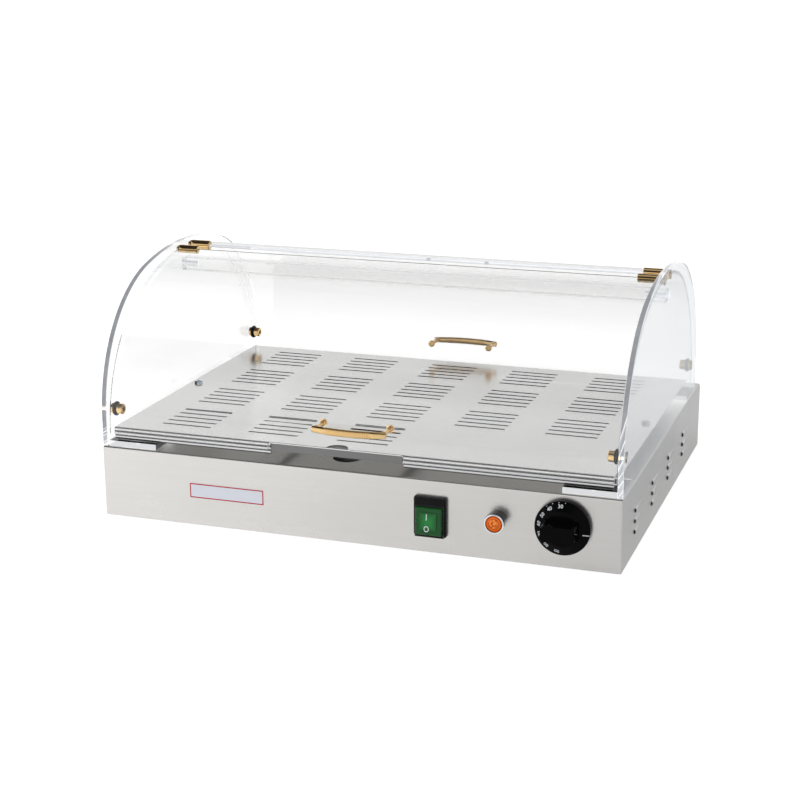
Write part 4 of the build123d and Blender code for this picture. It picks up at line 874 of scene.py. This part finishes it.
class CASE_OT_metalwork(bpy.types.Operator):
    """Gives the base, the tray and the sheet parts under them their metal finishes"""

    bl_idname = "display_case.metalwork"
    bl_label = "Finish the metalwork"

    def execute(self, context):
        settings = context.scene.display_case.metal
        long = settings.grain_length
        stainless = brushed_metal(
            "Brushed stainless", settings.stainless, (long, 0.012, 0.0012), 0.26, 0.33, depth=0.0015 * MM,
        )
        # The tray's slots get painted shade and its underside a painted glow.
        tray = brushed_metal(
            "Tray steel", settings.tray, (long, 0.0012, 0.012), 0.16, 0.21, contrast=0.25, depth=0.003 * MM,
            dark=self.slots, lit=self.underside,
        )
        # Painted shade: the trim is a slightly darker copy of the tray's steel, and its grooves get painted
        # shade.
        trim = brushed_metal(
            "Trim steel", shade(settings.tray, 0.92), (long, 0.002, 0.002), 0.16, 0.24, dark=self.grooves,
        )
        # Painted shade: the pan is the tray's steel at under a third of its brightness, and its underside
        # gets a painted glow.
        pan = brushed_metal(
            "Pan steel", shade(settings.tray, 0.30), (long, 0.0015, 0.0015), 0.35, 0.48, lit=self.underside,
        )
        zinc = zinc_sheet("Zinc plate", (0.55, 0.56, 0.57))
        finish_nodes(stainless, "base_housing")
        finish_nodes(tray, "perforated_tray")
        finish_nodes(trim, "tray_front_trim")
        finish_nodes(pan, "water_pan")
        finish_nodes(zinc, "bottom_plate", "heat_reflector", "element_straps", "tray_supports", "pan_runners")
        return {"FINISHED"}

    def grooves(self, finish):
        """Mask of painted shade in the grooves between the trim's ribs, where the faces lean up or down."""
        return range_node(finish.tree, finish.facing("Z"), 0.42, 0.72, 0.0, 0.6)

    def underside(self, finish):
        """Mask of the face that looks down on the base, which gets a painted glow."""
        return level(finish.tree, finish.facing("Z", False), -0.5, False)

    def slots(self, finish):
        """Mask of painted shade at the tray's slots: their walls, and a dark rim painted round each of them
        on the tray's top, which widens each slot's shade.
        """
        low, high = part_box("perforated_tray")
        tree = finish.tree
        parts = tree.nodes.new("ShaderNodeSeparateXYZ")
        tree.links.new(finish.coords, parts.inputs["Vector"])
        x, y = parts.outputs["X"], parts.outputs["Y"]
        across = level(tree, math_node(tree, "ABSOLUTE", x), high.x - 1 * MM, False)
        along = level(tree, y, high.y - 1 * MM, False)
        walls = math_node(tree, "MULTIPLY", across, along)
        walls = math_node(tree, "MULTIPLY", walls, level(tree, finish.facing("Z"), 0.5, False))

        row_pitch = 79.25 * MM
        first_row = low.y + 48.2 * MM
        column = self.off_middle(tree, x, 0.0, 88.5 * MM)
        row = self.off_middle(tree, y, first_row, row_pitch)
        slot = self.off_middle(tree, row, 0.0, 12.2 * MM)
        # Painted shade: a rim round each slot, so that the slot reads wider and darker.
        rim = self.near(tree, column, 24.8 * MM)
        for value, limit in ((row, 26.5 * MM), (slot, 1.6 * MM), (x, 202 * MM)):
            rim = math_node(tree, "MULTIPLY", rim, self.near(tree, value, limit))
        in_first_row = level(tree, y, first_row + row_pitch / 2, False)
        plain = math_node(tree, "MULTIPLY", level(tree, x, 50 * MM), in_first_row)
        rim = math_node(tree, "MULTIPLY", rim, math_node(tree, "SUBTRACT", 1.0, plain))
        rim = math_node(tree, "MULTIPLY", rim, level(tree, finish.facing("Z", False), 0.5))
        return math_node(tree, "MAXIMUM", walls, rim)

    def near(self, tree, value, limit):
        """1 where a value is closer to zero than a limit."""
        return level(tree, math_node(tree, "ABSOLUTE", value), limit, False)

    def off_middle(self, tree, value, middle, pitch):
        """How far a value is past the nearest of a row of middles at equal pitch, or short of it."""
        along = math_node(tree, "SUBTRACT", value, middle)
        turns = math_node(tree, "ROUND", math_node(tree, "DIVIDE", along, pitch))
        return math_node(tree, "SUBTRACT", along, math_node(tree, "MULTIPLY", turns, pitch))


class CASE_OT_fasteners(bpy.types.Operator):
    """Gives the screws, the lamp's cup and the shaft their plated finishes"""

    bl_idname = "display_case.fasteners"
    bl_label = "Finish the fasteners"

    def execute(self, context):
        # Painted shade: the upper side of the lamp's cup is painted near black.
        chrome = polished_metal("Chrome", (0.86, 0.88, 0.90), 0.04, 0.08, tarnish=0.05, dark=self.cup_side)
        # Painted shade: the front and left side of each tray screw's head is painted near black.
        screw = polished_metal(
            "Screw chrome", (0.70, 0.78, 0.86), 0.05, 0.1, tarnish=0.1, dark=self.screw_front,
        )
        plated = polished_metal("Zinc plated steel", (0.62, 0.66, 0.72), 0.2, 0.34)
        shaft = polished_metal("Turned steel", (0.60, 0.59, 0.57), 0.22, 0.36)
        # Painted light: the cross-bar screws glow pale grey with emission.
        pale = polished_metal(
            "Pale zinc", (0.93, 0.94, 0.96), 0.25, 0.35, tarnish=0.03, metal=0.1,
            Emission_Color=(0.90, 0.92, 0.95, 1.0), Emission_Strength=0.45,
        )
        finish_nodes(chrome, "lamp_bezel")
        finish_nodes(screw, "tray_screws")
        finish_nodes(pale, "cross_bar_screws")
        finish_nodes(plated, "bottom_screws", "panel_foot_screws", "thermostat_screws")
        finish_nodes(shaft, "thermostat_shaft")
        return {"FINISHED"}

    def screw_front(self, finish):
        """Mask of the side of a tray screw's head that faces the front and the left, which gets painted
        shade.
        """
        tree = finish.tree
        front = range_node(tree, finish.facing("Y", False), -0.35, -0.2, 1.0, 0.0)
        left = range_node(tree, finish.facing("X", False), 0.0, 0.12, 1.0, 0.0)
        return math_node(tree, "MULTIPLY", front, left)

    def cup_side(self, finish):
        """Mask of the upper side of the lamp's cup, painted near black as a dark reflection behind its bright
        rim.
        """
        tree = finish.tree
        side = level(tree, finish.facing("Y"), 0.5, False)
        upper = range_node(tree, finish.facing("Z", False), -0.1, 0.4)
        return math_node(tree, "MULTIPLY", side, upper)


class CASE_OT_acrylic(bpy.types.Operator):
    """Gives the side panels, the doors, the bar and the foot plates their clear acrylic"""

    bl_idname = "display_case.acrylic"
    bl_label = "Finish the acrylic"

    def execute(self, context):
        settings = context.scene.display_case.acrylic
        panel = clear_sheet("Panel acrylic", settings, panel_edges)
        finish_nodes(panel, "side_panel_left", "side_panel_right")
        low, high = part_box("front_door")
        # Painted light and shade: the front door's hinge end is painted near black, and the rear door's hinge
        # end glows.
        ends = door_edges(low.z, high.z, 0.3, 0.0)
        front = clear_sheet("Front door acrylic", settings, ends, door_top(high.z))
        rear = clear_sheet("Rear door acrylic", settings, door_edges(low.z, high.z, 0.1, 0.9))
        finish_nodes(front, "front_door")
        finish_nodes(rear, "rear_door")
        finish_nodes(clear_sheet("Foot acrylic", settings, plate_edges), "panel_feet")
        finish_nodes(clear_sheet("Bar acrylic", settings, dark=bar_foot), "cross_bar")
        return {"FINISHED"}


class CASE_OT_brass(bpy.types.Operator):
    """Gives the hinges, the door stops and the handle screws their polished brass"""

    bl_idname = "display_case.brass"
    bl_label = "Finish the brass fittings"

    def execute(self, context):
        settings = context.scene.display_case.metal
        brass = polished_metal("Polished brass", tuple(settings.brass), 0.05, 0.1, tarnish=0.12)
        finish_nodes(
            brass, "front_hinge_barrels", "rear_hinge_barrels", "hinge_bushes", "bumper_spacers",
            "bumper_screws", "front_handle_screws", "rear_handle_screws", "front_clamp_screws",
            "rear_clamp_screws",
        )
        return {"FINISHED"}


class CASE_OT_handles(bpy.types.Operator):
    """Builds the two fluted brass handles"""

    bl_idname = "display_case.handles"
    bl_label = "Build the handles"

    def execute(self, context):
        settings = context.scene.display_case
        brass = polished_metal("Handle brass", shade(settings.metal.brass, 1.04), 0.05, 0.09, tarnish=0.1)
        tree = flute_tree()
        build_handle("front_handle", -1, settings.handle, brass, tree)
        build_handle("rear_handle", 1, settings.handle, brass, tree)
        return {"FINISHED"}


class CASE_OT_plastics(bpy.types.Operator):
    """Gives the switch, the knob, the gland, the feet, the stop rings and the ceramics their finishes"""

    bl_idname = "display_case.plastics"
    bl_label = "Finish the mouldings"

    def execute(self, context):
        black = moulded(
            "Black plastic", (0.007, 0.007, 0.0075), 0.22, 0.34, dust=0.02, Specular_IOR_Level=0.35,
        )
        knob = moulded(
            "Knob black", (0.002, 0.002, 0.0023), 0.1, 0.17, scale=500.0, dust=0.004, depth=0.002 * MM,
            Specular_IOR_Level=0.05,
        )
        rubber = moulded(
            "Rubber", (0.010, 0.010, 0.010), 0.5, 0.65, scale=1500.0, dust=0.04, Specular_IOR_Level=0.3,
        )
        ceramic = moulded("Ceramic", (0.78, 0.75, 0.68), 0.45, 0.6, scale=700.0, dust=0.05)
        finish_nodes(black, "switch_bezel", "switch_body", "lamp_body", "lamp_nut")
        finish_nodes(black, "cable_gland", "gland_nut", "gland_locknut")
        finish_nodes(knob, "thermostat_knob")
        finish_nodes(rubber, "rubber_feet", "bumper_rings", "gland_seal")
        finish_nodes(ceramic, "element_seals", "thermostat_body", "terminal_block")
        return {"FINISHED"}


class CASE_OT_heater(bpy.types.Operator):
    """Gives the heater and the thermostat's sensor their heat-stained metal"""

    bl_idname = "display_case.heater"
    bl_label = "Finish the heater"

    def execute(self, context):
        sheath = polished_metal("Heater sheath", (0.20, 0.18, 0.165), 0.4, 0.6, tarnish=0.4, scale=25.0)
        copper = polished_metal("Copper", (0.72, 0.38, 0.24), 0.22, 0.4, tarnish=0.35)
        finish_nodes(sheath, "heating_element")
        finish_nodes(copper, "thermostat_sensor")
        return {"FINISHED"}


class CASE_OT_switch(bpy.types.Operator):
    """Finishes the rocker and prints its I and O marks"""

    bl_idname = "display_case.switch"
    bl_label = "Build the switch marks"

    def execute(self, context):
        settings = context.scene.display_case
        colour = tuple(settings.lamp.rocker)
        finish_nodes(rocker_finish("Green rocker", colour, False), "switch_rocker")
        finish_nodes(rocker_finish("Green lens", colour, True), "rocker_lens")
        ink = printed_ink("Switch ink", shade(settings.dial.ink, 1.1))
        low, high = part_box("rocker_lens")
        middle = (low + high) / 2
        tilt = radians(-5.0)
        bm = bmesh.new()
        depth = 0.12 * MM
        bar_x, bar_z, half_width, half_height = -1.4 * MM, 4.2 * MM, 0.42 * MM, 2.9 * MM
        left, right = bar_x - half_width, bar_x + half_width
        bottom, top = bar_z - half_height, bar_z + half_height
        corners = [(left, bottom), (right, bottom), (right, top), (left, top)]
        skin_rings(bm, [[Vector((x, y, z)) for x, z in corners] for y in (depth, -depth)])
        ring_x, ring_z, outer, inner, narrowing, steps = -1.2 * MM, -6.6 * MM, 2.8 * MM, 1.9 * MM, 0.86, 40
        rings = []
        for radius, y in ((outer, depth), (outer, -depth), (inner, -depth), (inner, depth)):
            ring = []
            for step in range(steps):
                turn = 2 * pi * step / steps
                ring.append(Vector((ring_x + radius * narrowing * cos(turn), y, ring_z + radius * sin(turn))))
            rings.append(ring)
        skin_rings(bm, rings + [rings[0]], False, False)
        mesh = mesh_of(bm, "switch_marks")
        place = Matrix.Translation((middle.x, low.y + 0.72 * MM, middle.z)) @ Matrix.Rotation(tilt, 4, "X")
        mesh.transform(place)
        piece = link(mesh, "switch_marks", ink)
        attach(piece, "rocker")
        return {"FINISHED"}


def ring_tree():
    """Raised rings about one axis, each wider than the last."""
    tree = Tree("Lens rings", [
        ("Count", "NodeSocketInt"), ("First Radius", "NodeSocketFloat"), ("Step", "NodeSocketFloat"),
        ("Bead", "NodeSocketFloat"), ("Centre", "NodeSocketVector"), ("Fall", "NodeSocketFloat"),
    ])
    line = tree.node(
        "GeometryNodeMeshLine", {"mode": "OFFSET"}, Count=tree.input("Count"), Offset=(0.0, 0.0, 0.0),
    )
    points = tree.node("GeometryNodeMeshToPoints", Mesh=line.outputs[0])
    circle, by_radius = "GeometryNodeCurvePrimitiveCircle", {"mode": "RADIUS"}
    loop = tree.node(circle, by_radius, Resolution=40, Radius=tree.input("First Radius"))
    bead = tree.node(circle, by_radius, Resolution=8, Radius=tree.input("Bead"))
    ring = tree.node("GeometryNodeCurveToMesh", Curve=loop.outputs[0], Profile_Curve=bead.outputs[0])
    soft = tree.node("GeometryNodeSetShadeSmooth", Geometry=ring.outputs[0])
    index = tree.node("GeometryNodeInputIndex")
    grow = tree.node("ShaderNodeMath", {"operation": "MULTIPLY"}, _0=index.outputs[0], _1=tree.input("Step"))
    wide = tree.node("ShaderNodeMath", {"operation": "ADD"}, _0=grow.outputs[0], _1=1.0)
    scale = tree.node("ShaderNodeCombineXYZ", X=wide.outputs[0], Y=wide.outputs[0], Z=1.0)
    sink = tree.node("ShaderNodeMath", {"operation": "MULTIPLY"}, _0=index.outputs[0], _1=tree.input("Fall"))
    sink_more = tree.node("ShaderNodeMath", {"operation": "MULTIPLY"}, _0=sink.outputs[0], _1=wide.outputs[0])
    drop = tree.node("ShaderNodeCombineXYZ", Y=sink_more.outputs[0])
    place = tree.node(
        "ShaderNodeVectorMath", {"operation": "ADD"}, _0=tree.input("Centre"), _1=drop.outputs[0],
    )
    moved = tree.node("GeometryNodeSetPosition", Geometry=points.outputs[0], Position=place.outputs[0])
    placed = tree.node(
        "GeometryNodeInstanceOnPoints", Points=moved.outputs[0], Instance=soft.outputs[0],
        Rotation=(pi / 2, 0.0, 0.0), Scale=scale.outputs[0],
    )
    return tree.finish(placed.outputs[0])


class CASE_OT_lamp(bpy.types.Operator):
    """Finishes the pilot lamp's lens and raises the rings moulded on it"""

    bl_idname = "display_case.lamp"
    bl_label = "Build the lamp rings"

    def execute(self, context):
        settings = context.scene.display_case.lamp
        lens = lamp_lens_finish(tuple(settings.lens))
        finish_nodes(lens, "lamp_lens")
        low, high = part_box("lamp_lens")
        radius = (high.x - low.x) / 2
        step = 0.85
        first = radius * 0.86 / (1 + step * (settings.ring_count - 1))
        centre = Vector(((low.x + high.x) / 2, low.y + 0.12 * MM, (low.z + high.z) / 2))
        rings = run_tree(ring_tree(), {
            "Count": settings.ring_count, "First Radius": first, "Step": step, "Bead": 0.18 * MM,
            "Centre": centre, "Fall": 0.22 * MM, "Material": lens,
        }, "lamp_rings")
        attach(rings, "case")
        return {"FINISHED"}


def dot_tree():
    """Small printed dots on equally spaced points of an arc about the dial's axis."""
    tree = Tree("Dial dots", [
        ("Centre", "NodeSocketVector"), ("Radius", "NodeSocketFloat"), ("First Angle", "NodeSocketFloat"),
        ("Spread", "NodeSocketFloat"), ("Count", "NodeSocketInt"), ("Dot", "NodeSocketFloat"),
        ("Lift", "NodeSocketFloat"),
    ])
    arc = tree.node(
        "GeometryNodeCurveArc", {"mode": "RADIUS"}, Resolution=40, Radius=tree.input("Radius"),
        Start_Angle=tree.input("First Angle"), Sweep_Angle=tree.input("Spread"),
    )
    points = tree.node(
        "GeometryNodeCurveToPoints", {"mode": "COUNT"}, Curve=arc.outputs[0], Count=tree.input("Count"),
    )
    dot = tree.node(
        "GeometryNodeMeshCylinder", Vertices=14, Radius=tree.input("Dot"), Depth=tree.input("Lift"),
    )
    placed = tree.node(
        "GeometryNodeInstanceOnPoints", Points=points.outputs["Points"], Instance=dot.outputs["Mesh"],
    )
    upright = tree.node(
        "GeometryNodeTransform", Geometry=placed.outputs[0], Rotation=(pi / 2, 0.0, 0.0),
        Translation=tree.input("Centre"),
    )
    return tree.finish(upright.outputs[0])


class CASE_OT_dial(bpy.types.Operator):
    """Prints the numerals, the dots and the index mark on the knob's skirt"""

    bl_idname = "display_case.dial"
    bl_label = "Build the dial print"

    NUMERALS = ((30, 94), (40, 122.6), (50, 147.5), (60, 171.6), (70, 197.7), (80, 229), (90, 259))

    def execute(self, context):
        settings = context.scene.display_case.dial
        ink = printed_ink("Dial ink", tuple(settings.ink))
        low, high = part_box("thermostat_knob")
        centre = Vector(((low.x + high.x) / 2, 0, (low.z + high.z) / 2))
        radius = (high.x - low.x) / 2
        skirt_y = high.y - 4.5 * MM
        face_y = high.y - 9.5 * MM
        face_radius = 16.5 * MM
        slope = (face_y + 0.6 * MM - skirt_y) / (face_radius - radius)

        def on_skirt(reach):
            return skirt_y + slope * (reach - radius)

        bm = bmesh.new()
        tilt = -asin(abs(slope) / sqrt(1 + slope**2))
        middle = radius - 4.3 * MM
        for value, degrees in self.NUMERALS:
            mesh = text_mesh(str(value), settings.numeral_height, 0.1 * MM, "numeral")
            turn = radians(degrees)
            spot = centre + Vector((middle * cos(turn), on_skirt(middle) - 0.1 * MM, middle * sin(turn)))
            place = (
                Matrix.Translation(spot)
                @ Matrix.Rotation(-(turn - pi / 2), 4, "Y")
                @ Matrix.Rotation(tilt, 4, "X")
                @ Matrix.Rotation(pi / 2, 4, "X")
            )
            mesh.transform(place)
            bm.from_mesh(mesh)
            bpy.data.meshes.remove(mesh)
        mark = radians(-10)
        half_width = 0.5 * MM
        near, far = radius - 6.0 * MM, radius - 0.4 * MM
        corners = []
        for reach, side in ((near, -1), (far, -1), (far, 1), (near, 1)):
            x = reach * cos(mark) - side * half_width * sin(mark)
            z = reach * sin(mark) + side * half_width * cos(mark)
            corners.append((x, z, on_skirt(reach)))
        skin_rings(bm, [
            [centre + Vector((x, y + lift, z)) for x, z, y in corners] for lift in (0.1 * MM, -0.14 * MM)
        ])
        mesh = mesh_of(bm, "dial_numerals")
        numerals = link(mesh, "dial_numerals", ink)
        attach(numerals, "knob")

        reach = radius - 1.3 * MM
        dots = run_tree(dot_tree(), {
            "Centre": centre + Vector((0, on_skirt(reach), 0)), "Radius": reach, "First Angle": radians(84),
            "Spread": radians(42), "Count": settings.dot_count, "Dot": 0.42 * MM, "Lift": 0.3 * MM,
            "Material": ink,
        }, "dial_dots")
        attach(dots, "knob")
        return {"FINISHED"}


class CASE_OT_front_plate(bpy.types.Operator):
    """Adds the bare plate with its thin printed border to the front wall"""

    bl_idname = "display_case.front_plate"
    bl_label = "Build the front plate"

    def execute(self, context):
        settings = context.scene.display_case
        plate = settings.plate
        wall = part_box("base_housing")[0].y
        x, z = -122.7 * MM, 35.4 * MM
        thickness = 0.25 * MM

        def outline(half_x, half_z, corner, y):
            points = []
            for sx, sz, first in ((1, 1, 0), (-1, 1, 90), (-1, -1, 180), (1, -1, 270)):
                middle_x = x + sx * (half_x - corner)
                middle_z = z + sz * (half_z - corner)
                for step in range(5):
                    turn = radians(first + step * 22.5)
                    points.append(Vector((middle_x + corner * cos(turn), y, middle_z + corner * sin(turn))))
            return points

        half_x, half_z = plate.width / 2, plate.height / 2
        bm = bmesh.new()
        skin_rings(bm, [
            outline(half_x, half_z, 0.8 * MM, wall + 0.1 * MM),
            outline(half_x, half_z, 0.8 * MM, wall - thickness + 0.06 * MM),
            outline(half_x - 0.06 * MM, half_z - 0.06 * MM, 0.74 * MM, wall - thickness),
        ])
        mesh = mesh_of(bm, "front_plate")
        satin = brushed_metal("Plate satin", (0.80, 0.83, 0.90), (0.02, 0.01, 0.0006), 0.3, 0.4, metal=0.4)
        piece = link(mesh, "front_plate", satin)
        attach(piece, "case")

        bm = bmesh.new()
        inset, line = 0.3 * MM, 1.05 * MM
        rings = []
        raised = thickness + 0.04 * MM
        inner = inset + line
        for edge, y in ((inset, thickness), (inset, raised), (inner, raised), (inner, thickness)):
            rings.append(outline(half_x - edge, half_z - edge, 0.5 * MM, wall - y))
        skin_rings(bm, rings + [rings[0]], False, False)
        ink = printed_ink("Border ink", tuple(plate.border))
        border = link(mesh_of(bm, "plate_border"), "plate_border", ink)
        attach(border, "case")
        return {"FINISHED"}


class CASE_OT_stage(bpy.types.Operator):
    """Sets up the floor, the soft lights, the world and the camera"""

    bl_idname = "display_case.stage"
    bl_label = "Set the stage"

    def execute(self, context):
        settings = context.scene.display_case.stage
        scene = context.scene
        self.add_floor(settings)
        self.add_world(scene)
        self.add_lamp("Key", settings.key_watts, (2.2, 1.6), (-1.5, -1.2, 1.9), (0, 0, 0.08))
        self.add_lamp("Fill", settings.fill_watts, (1.4, 1.4), (1.6, -1.6, 1.5), (0, 0, 0.08))
        self.add_camera(scene)
        scene.view_settings.view_transform = "Standard"
        return {"FINISHED"}

    def add_floor(self, settings):
        """A wide round floor, white to the eye and through the clear sheet, that keeps the case's shadow; in
        reflections it shows a painted glow, dimmer and cooler to the right.
        """
        bm = bmesh.new()
        bmesh.ops.create_circle(bm, cap_ends=True, radius=60.0, segments=64)
        mesh = bpy.data.meshes.new("floor")
        bm.to_mesh(mesh)
        bm.free()
        finish = Finish("Floor", Roughness=0.9, Specular_IOR_Level=0.0)
        cloud = finish.group("haze", Scale=0.6, Low=0.85, High=0.95)
        colour = tuple(settings.floor)
        clouded = mix_colours(finish.tree, cloud.outputs["Mask"], colour, shade(colour, 0.995))
        finish.feed("Base Color", clouded)
        parts = finish.tree.nodes.new("ShaderNodeSeparateXYZ")
        finish.tree.links.new(finish.coords, parts.inputs["Vector"])
        path = finish.tree.nodes.new("ShaderNodeLightPath")
        through = math_node(finish.tree, "MULTIPLY", path.outputs["Is Transmission Ray"], 1.0)
        seen = math_node(finish.tree, "ADD", path.outputs["Is Camera Ray"], through, clamp=True)
        # Painted reflection: the glow seen in reflections falls off and turns cooler to the right.
        mirrored = range_node(finish.tree, parts.outputs["X"], -0.3, 0.35, 0.60, 0.28)
        mirrored = math_node(finish.tree, "MULTIPLY", path.outputs["Is Glossy Ray"], mirrored)
        glow = math_node(finish.tree, "MAXIMUM", math_node(finish.tree, "MULTIPLY", seen, 0.80), mirrored)
        cool = range_node(finish.tree, parts.outputs["X"], 0.2, 0.4)
        cool = math_node(finish.tree, "MULTIPLY", path.outputs["Is Glossy Ray"], cool)
        finish.feed("Emission Color", mix_colours(finish.tree, cool, (1.0, 1.0, 1.0), (0.88, 0.94, 1.0)))
        finish.tree.links.new(glow, finish.shader.inputs["Emission Strength"])
        floor = link(mesh, "floor", finish.material)

    def add_world(self, scene):
        """A sky that is white to the eye and near the horizon, dimmer to the right and dark above, with a
        pale top."""
        world = bpy.data.worlds.new("Studio")
        scene.world = world
        world.use_nodes = True
        tree = world.node_tree
        background = tree.nodes["Background"]
        direction = tree.nodes.new("ShaderNodeTexCoord").outputs["Generated"]
        parts = tree.nodes.new("ShaderNodeSeparateXYZ")
        tree.links.new(direction, parts.inputs["Vector"])
        sideways = range_node(tree, parts.outputs["X"], -0.4, 0.8)
        sky = mix_colours(tree, sideways, (1.0, 1.0, 1.0), (0.62, 0.63, 0.65))
        overhead = range_node(tree, parts.outputs["Z"], 0.38, 0.6)
        sky = mix_colours(tree, overhead, sky, (0.03, 0.03, 0.033))
        top = range_node(tree, parts.outputs["Z"], 0.90, 0.97)
        sky = mix_colours(tree, top, sky, (0.55, 0.55, 0.56))
        path = tree.nodes.new("ShaderNodeLightPath")
        seen = mix_colours(tree, path.outputs["Is Camera Ray"], sky, (1.0, 1.0, 1.0))
        tree.links.new(seen, background.inputs["Color"])
        background.inputs["Strength"].default_value = 1.0

    def add_lamp(self, name, watts, size, place, aim):
        lamp = bpy.data.lights.new(name, "AREA")
        lamp.shape = "RECTANGLE"
        lamp.size, lamp.size_y = size
        lamp.energy = watts
        holder = bpy.data.objects.new(name, lamp)
        bpy.context.scene.collection.objects.link(holder)
        holder.location = place
        holder.rotation_euler = (Vector(aim) - Vector(place)).to_track_quat("-Z", "Y").to_euler()
        holder.visible_glossy = False
        holder.visible_transmission = False

    def add_camera(self, scene):
        """The view that the case is seen from: to its right, a little above."""
        camera = bpy.data.cameras.new("Camera")
        camera.sensor_width = 36.0
        camera.lens = 78.03
        camera.clip_end = 200.0
        turn, tip, roll = 0.33002, 0.27906, -0.004444
        ahead = Vector((-sin(turn) * cos(tip), cos(turn) * cos(tip), -sin(tip)))
        level = Vector((cos(turn), sin(turn), 0))
        above = level.cross(ahead)
        right = cos(roll) * level + sin(roll) * above
        up = -sin(roll) * level + cos(roll) * above
        basis = Matrix((right, up, -ahead)).transposed().to_4x4()
        holder = bpy.data.objects.new("Camera", camera)
        scene.collection.objects.link(holder)
        holder.matrix_world = Matrix.Translation((0.52447, -1.59061, 0.56249)) @ basis
        scene.camera = holder


PIECES = (
    CASE_OT_metalwork, CASE_OT_fasteners, CASE_OT_acrylic, CASE_OT_brass, CASE_OT_handles, CASE_OT_plastics,
    CASE_OT_heater, CASE_OT_switch, CASE_OT_lamp, CASE_OT_dial, CASE_OT_front_plate,
)


class CASE_PT_panel(bpy.types.Panel):
    """Lists the operators of the display case"""

    bl_idname = "CASE_PT_panel"
    bl_label = "Display Case"
    bl_space_type = "VIEW_3D"
    bl_region_type = "UI"
    bl_category = "Display Case"

    def draw(self, context):
        for operator in PIECES + (CASE_OT_stage,):
            self.layout.operator(operator.bl_idname)


CLASSES = (
    MetalSettings, AcrylicSettings, HandleSettings, DialSettings, LampSettings, PlateSettings, StageSettings,
    CaseSettings, *PIECES, CASE_OT_stage, CASE_PT_panel,
)


def register():
    for item in CLASSES:
        bpy.utils.register_class(item)
    bpy.types.Scene.display_case = PointerProperty(type=CaseSettings)


def unregister():
    del bpy.types.Scene.display_case
    for item in reversed(CLASSES):
        bpy.utils.unregister_class(item)


def main():
    register()
    for operator in PIECES + (CASE_OT_stage,):
        group, name = operator.bl_idname.split(".")
        getattr(getattr(bpy.ops, group), name)()


if __name__ == "__main__":
    main()
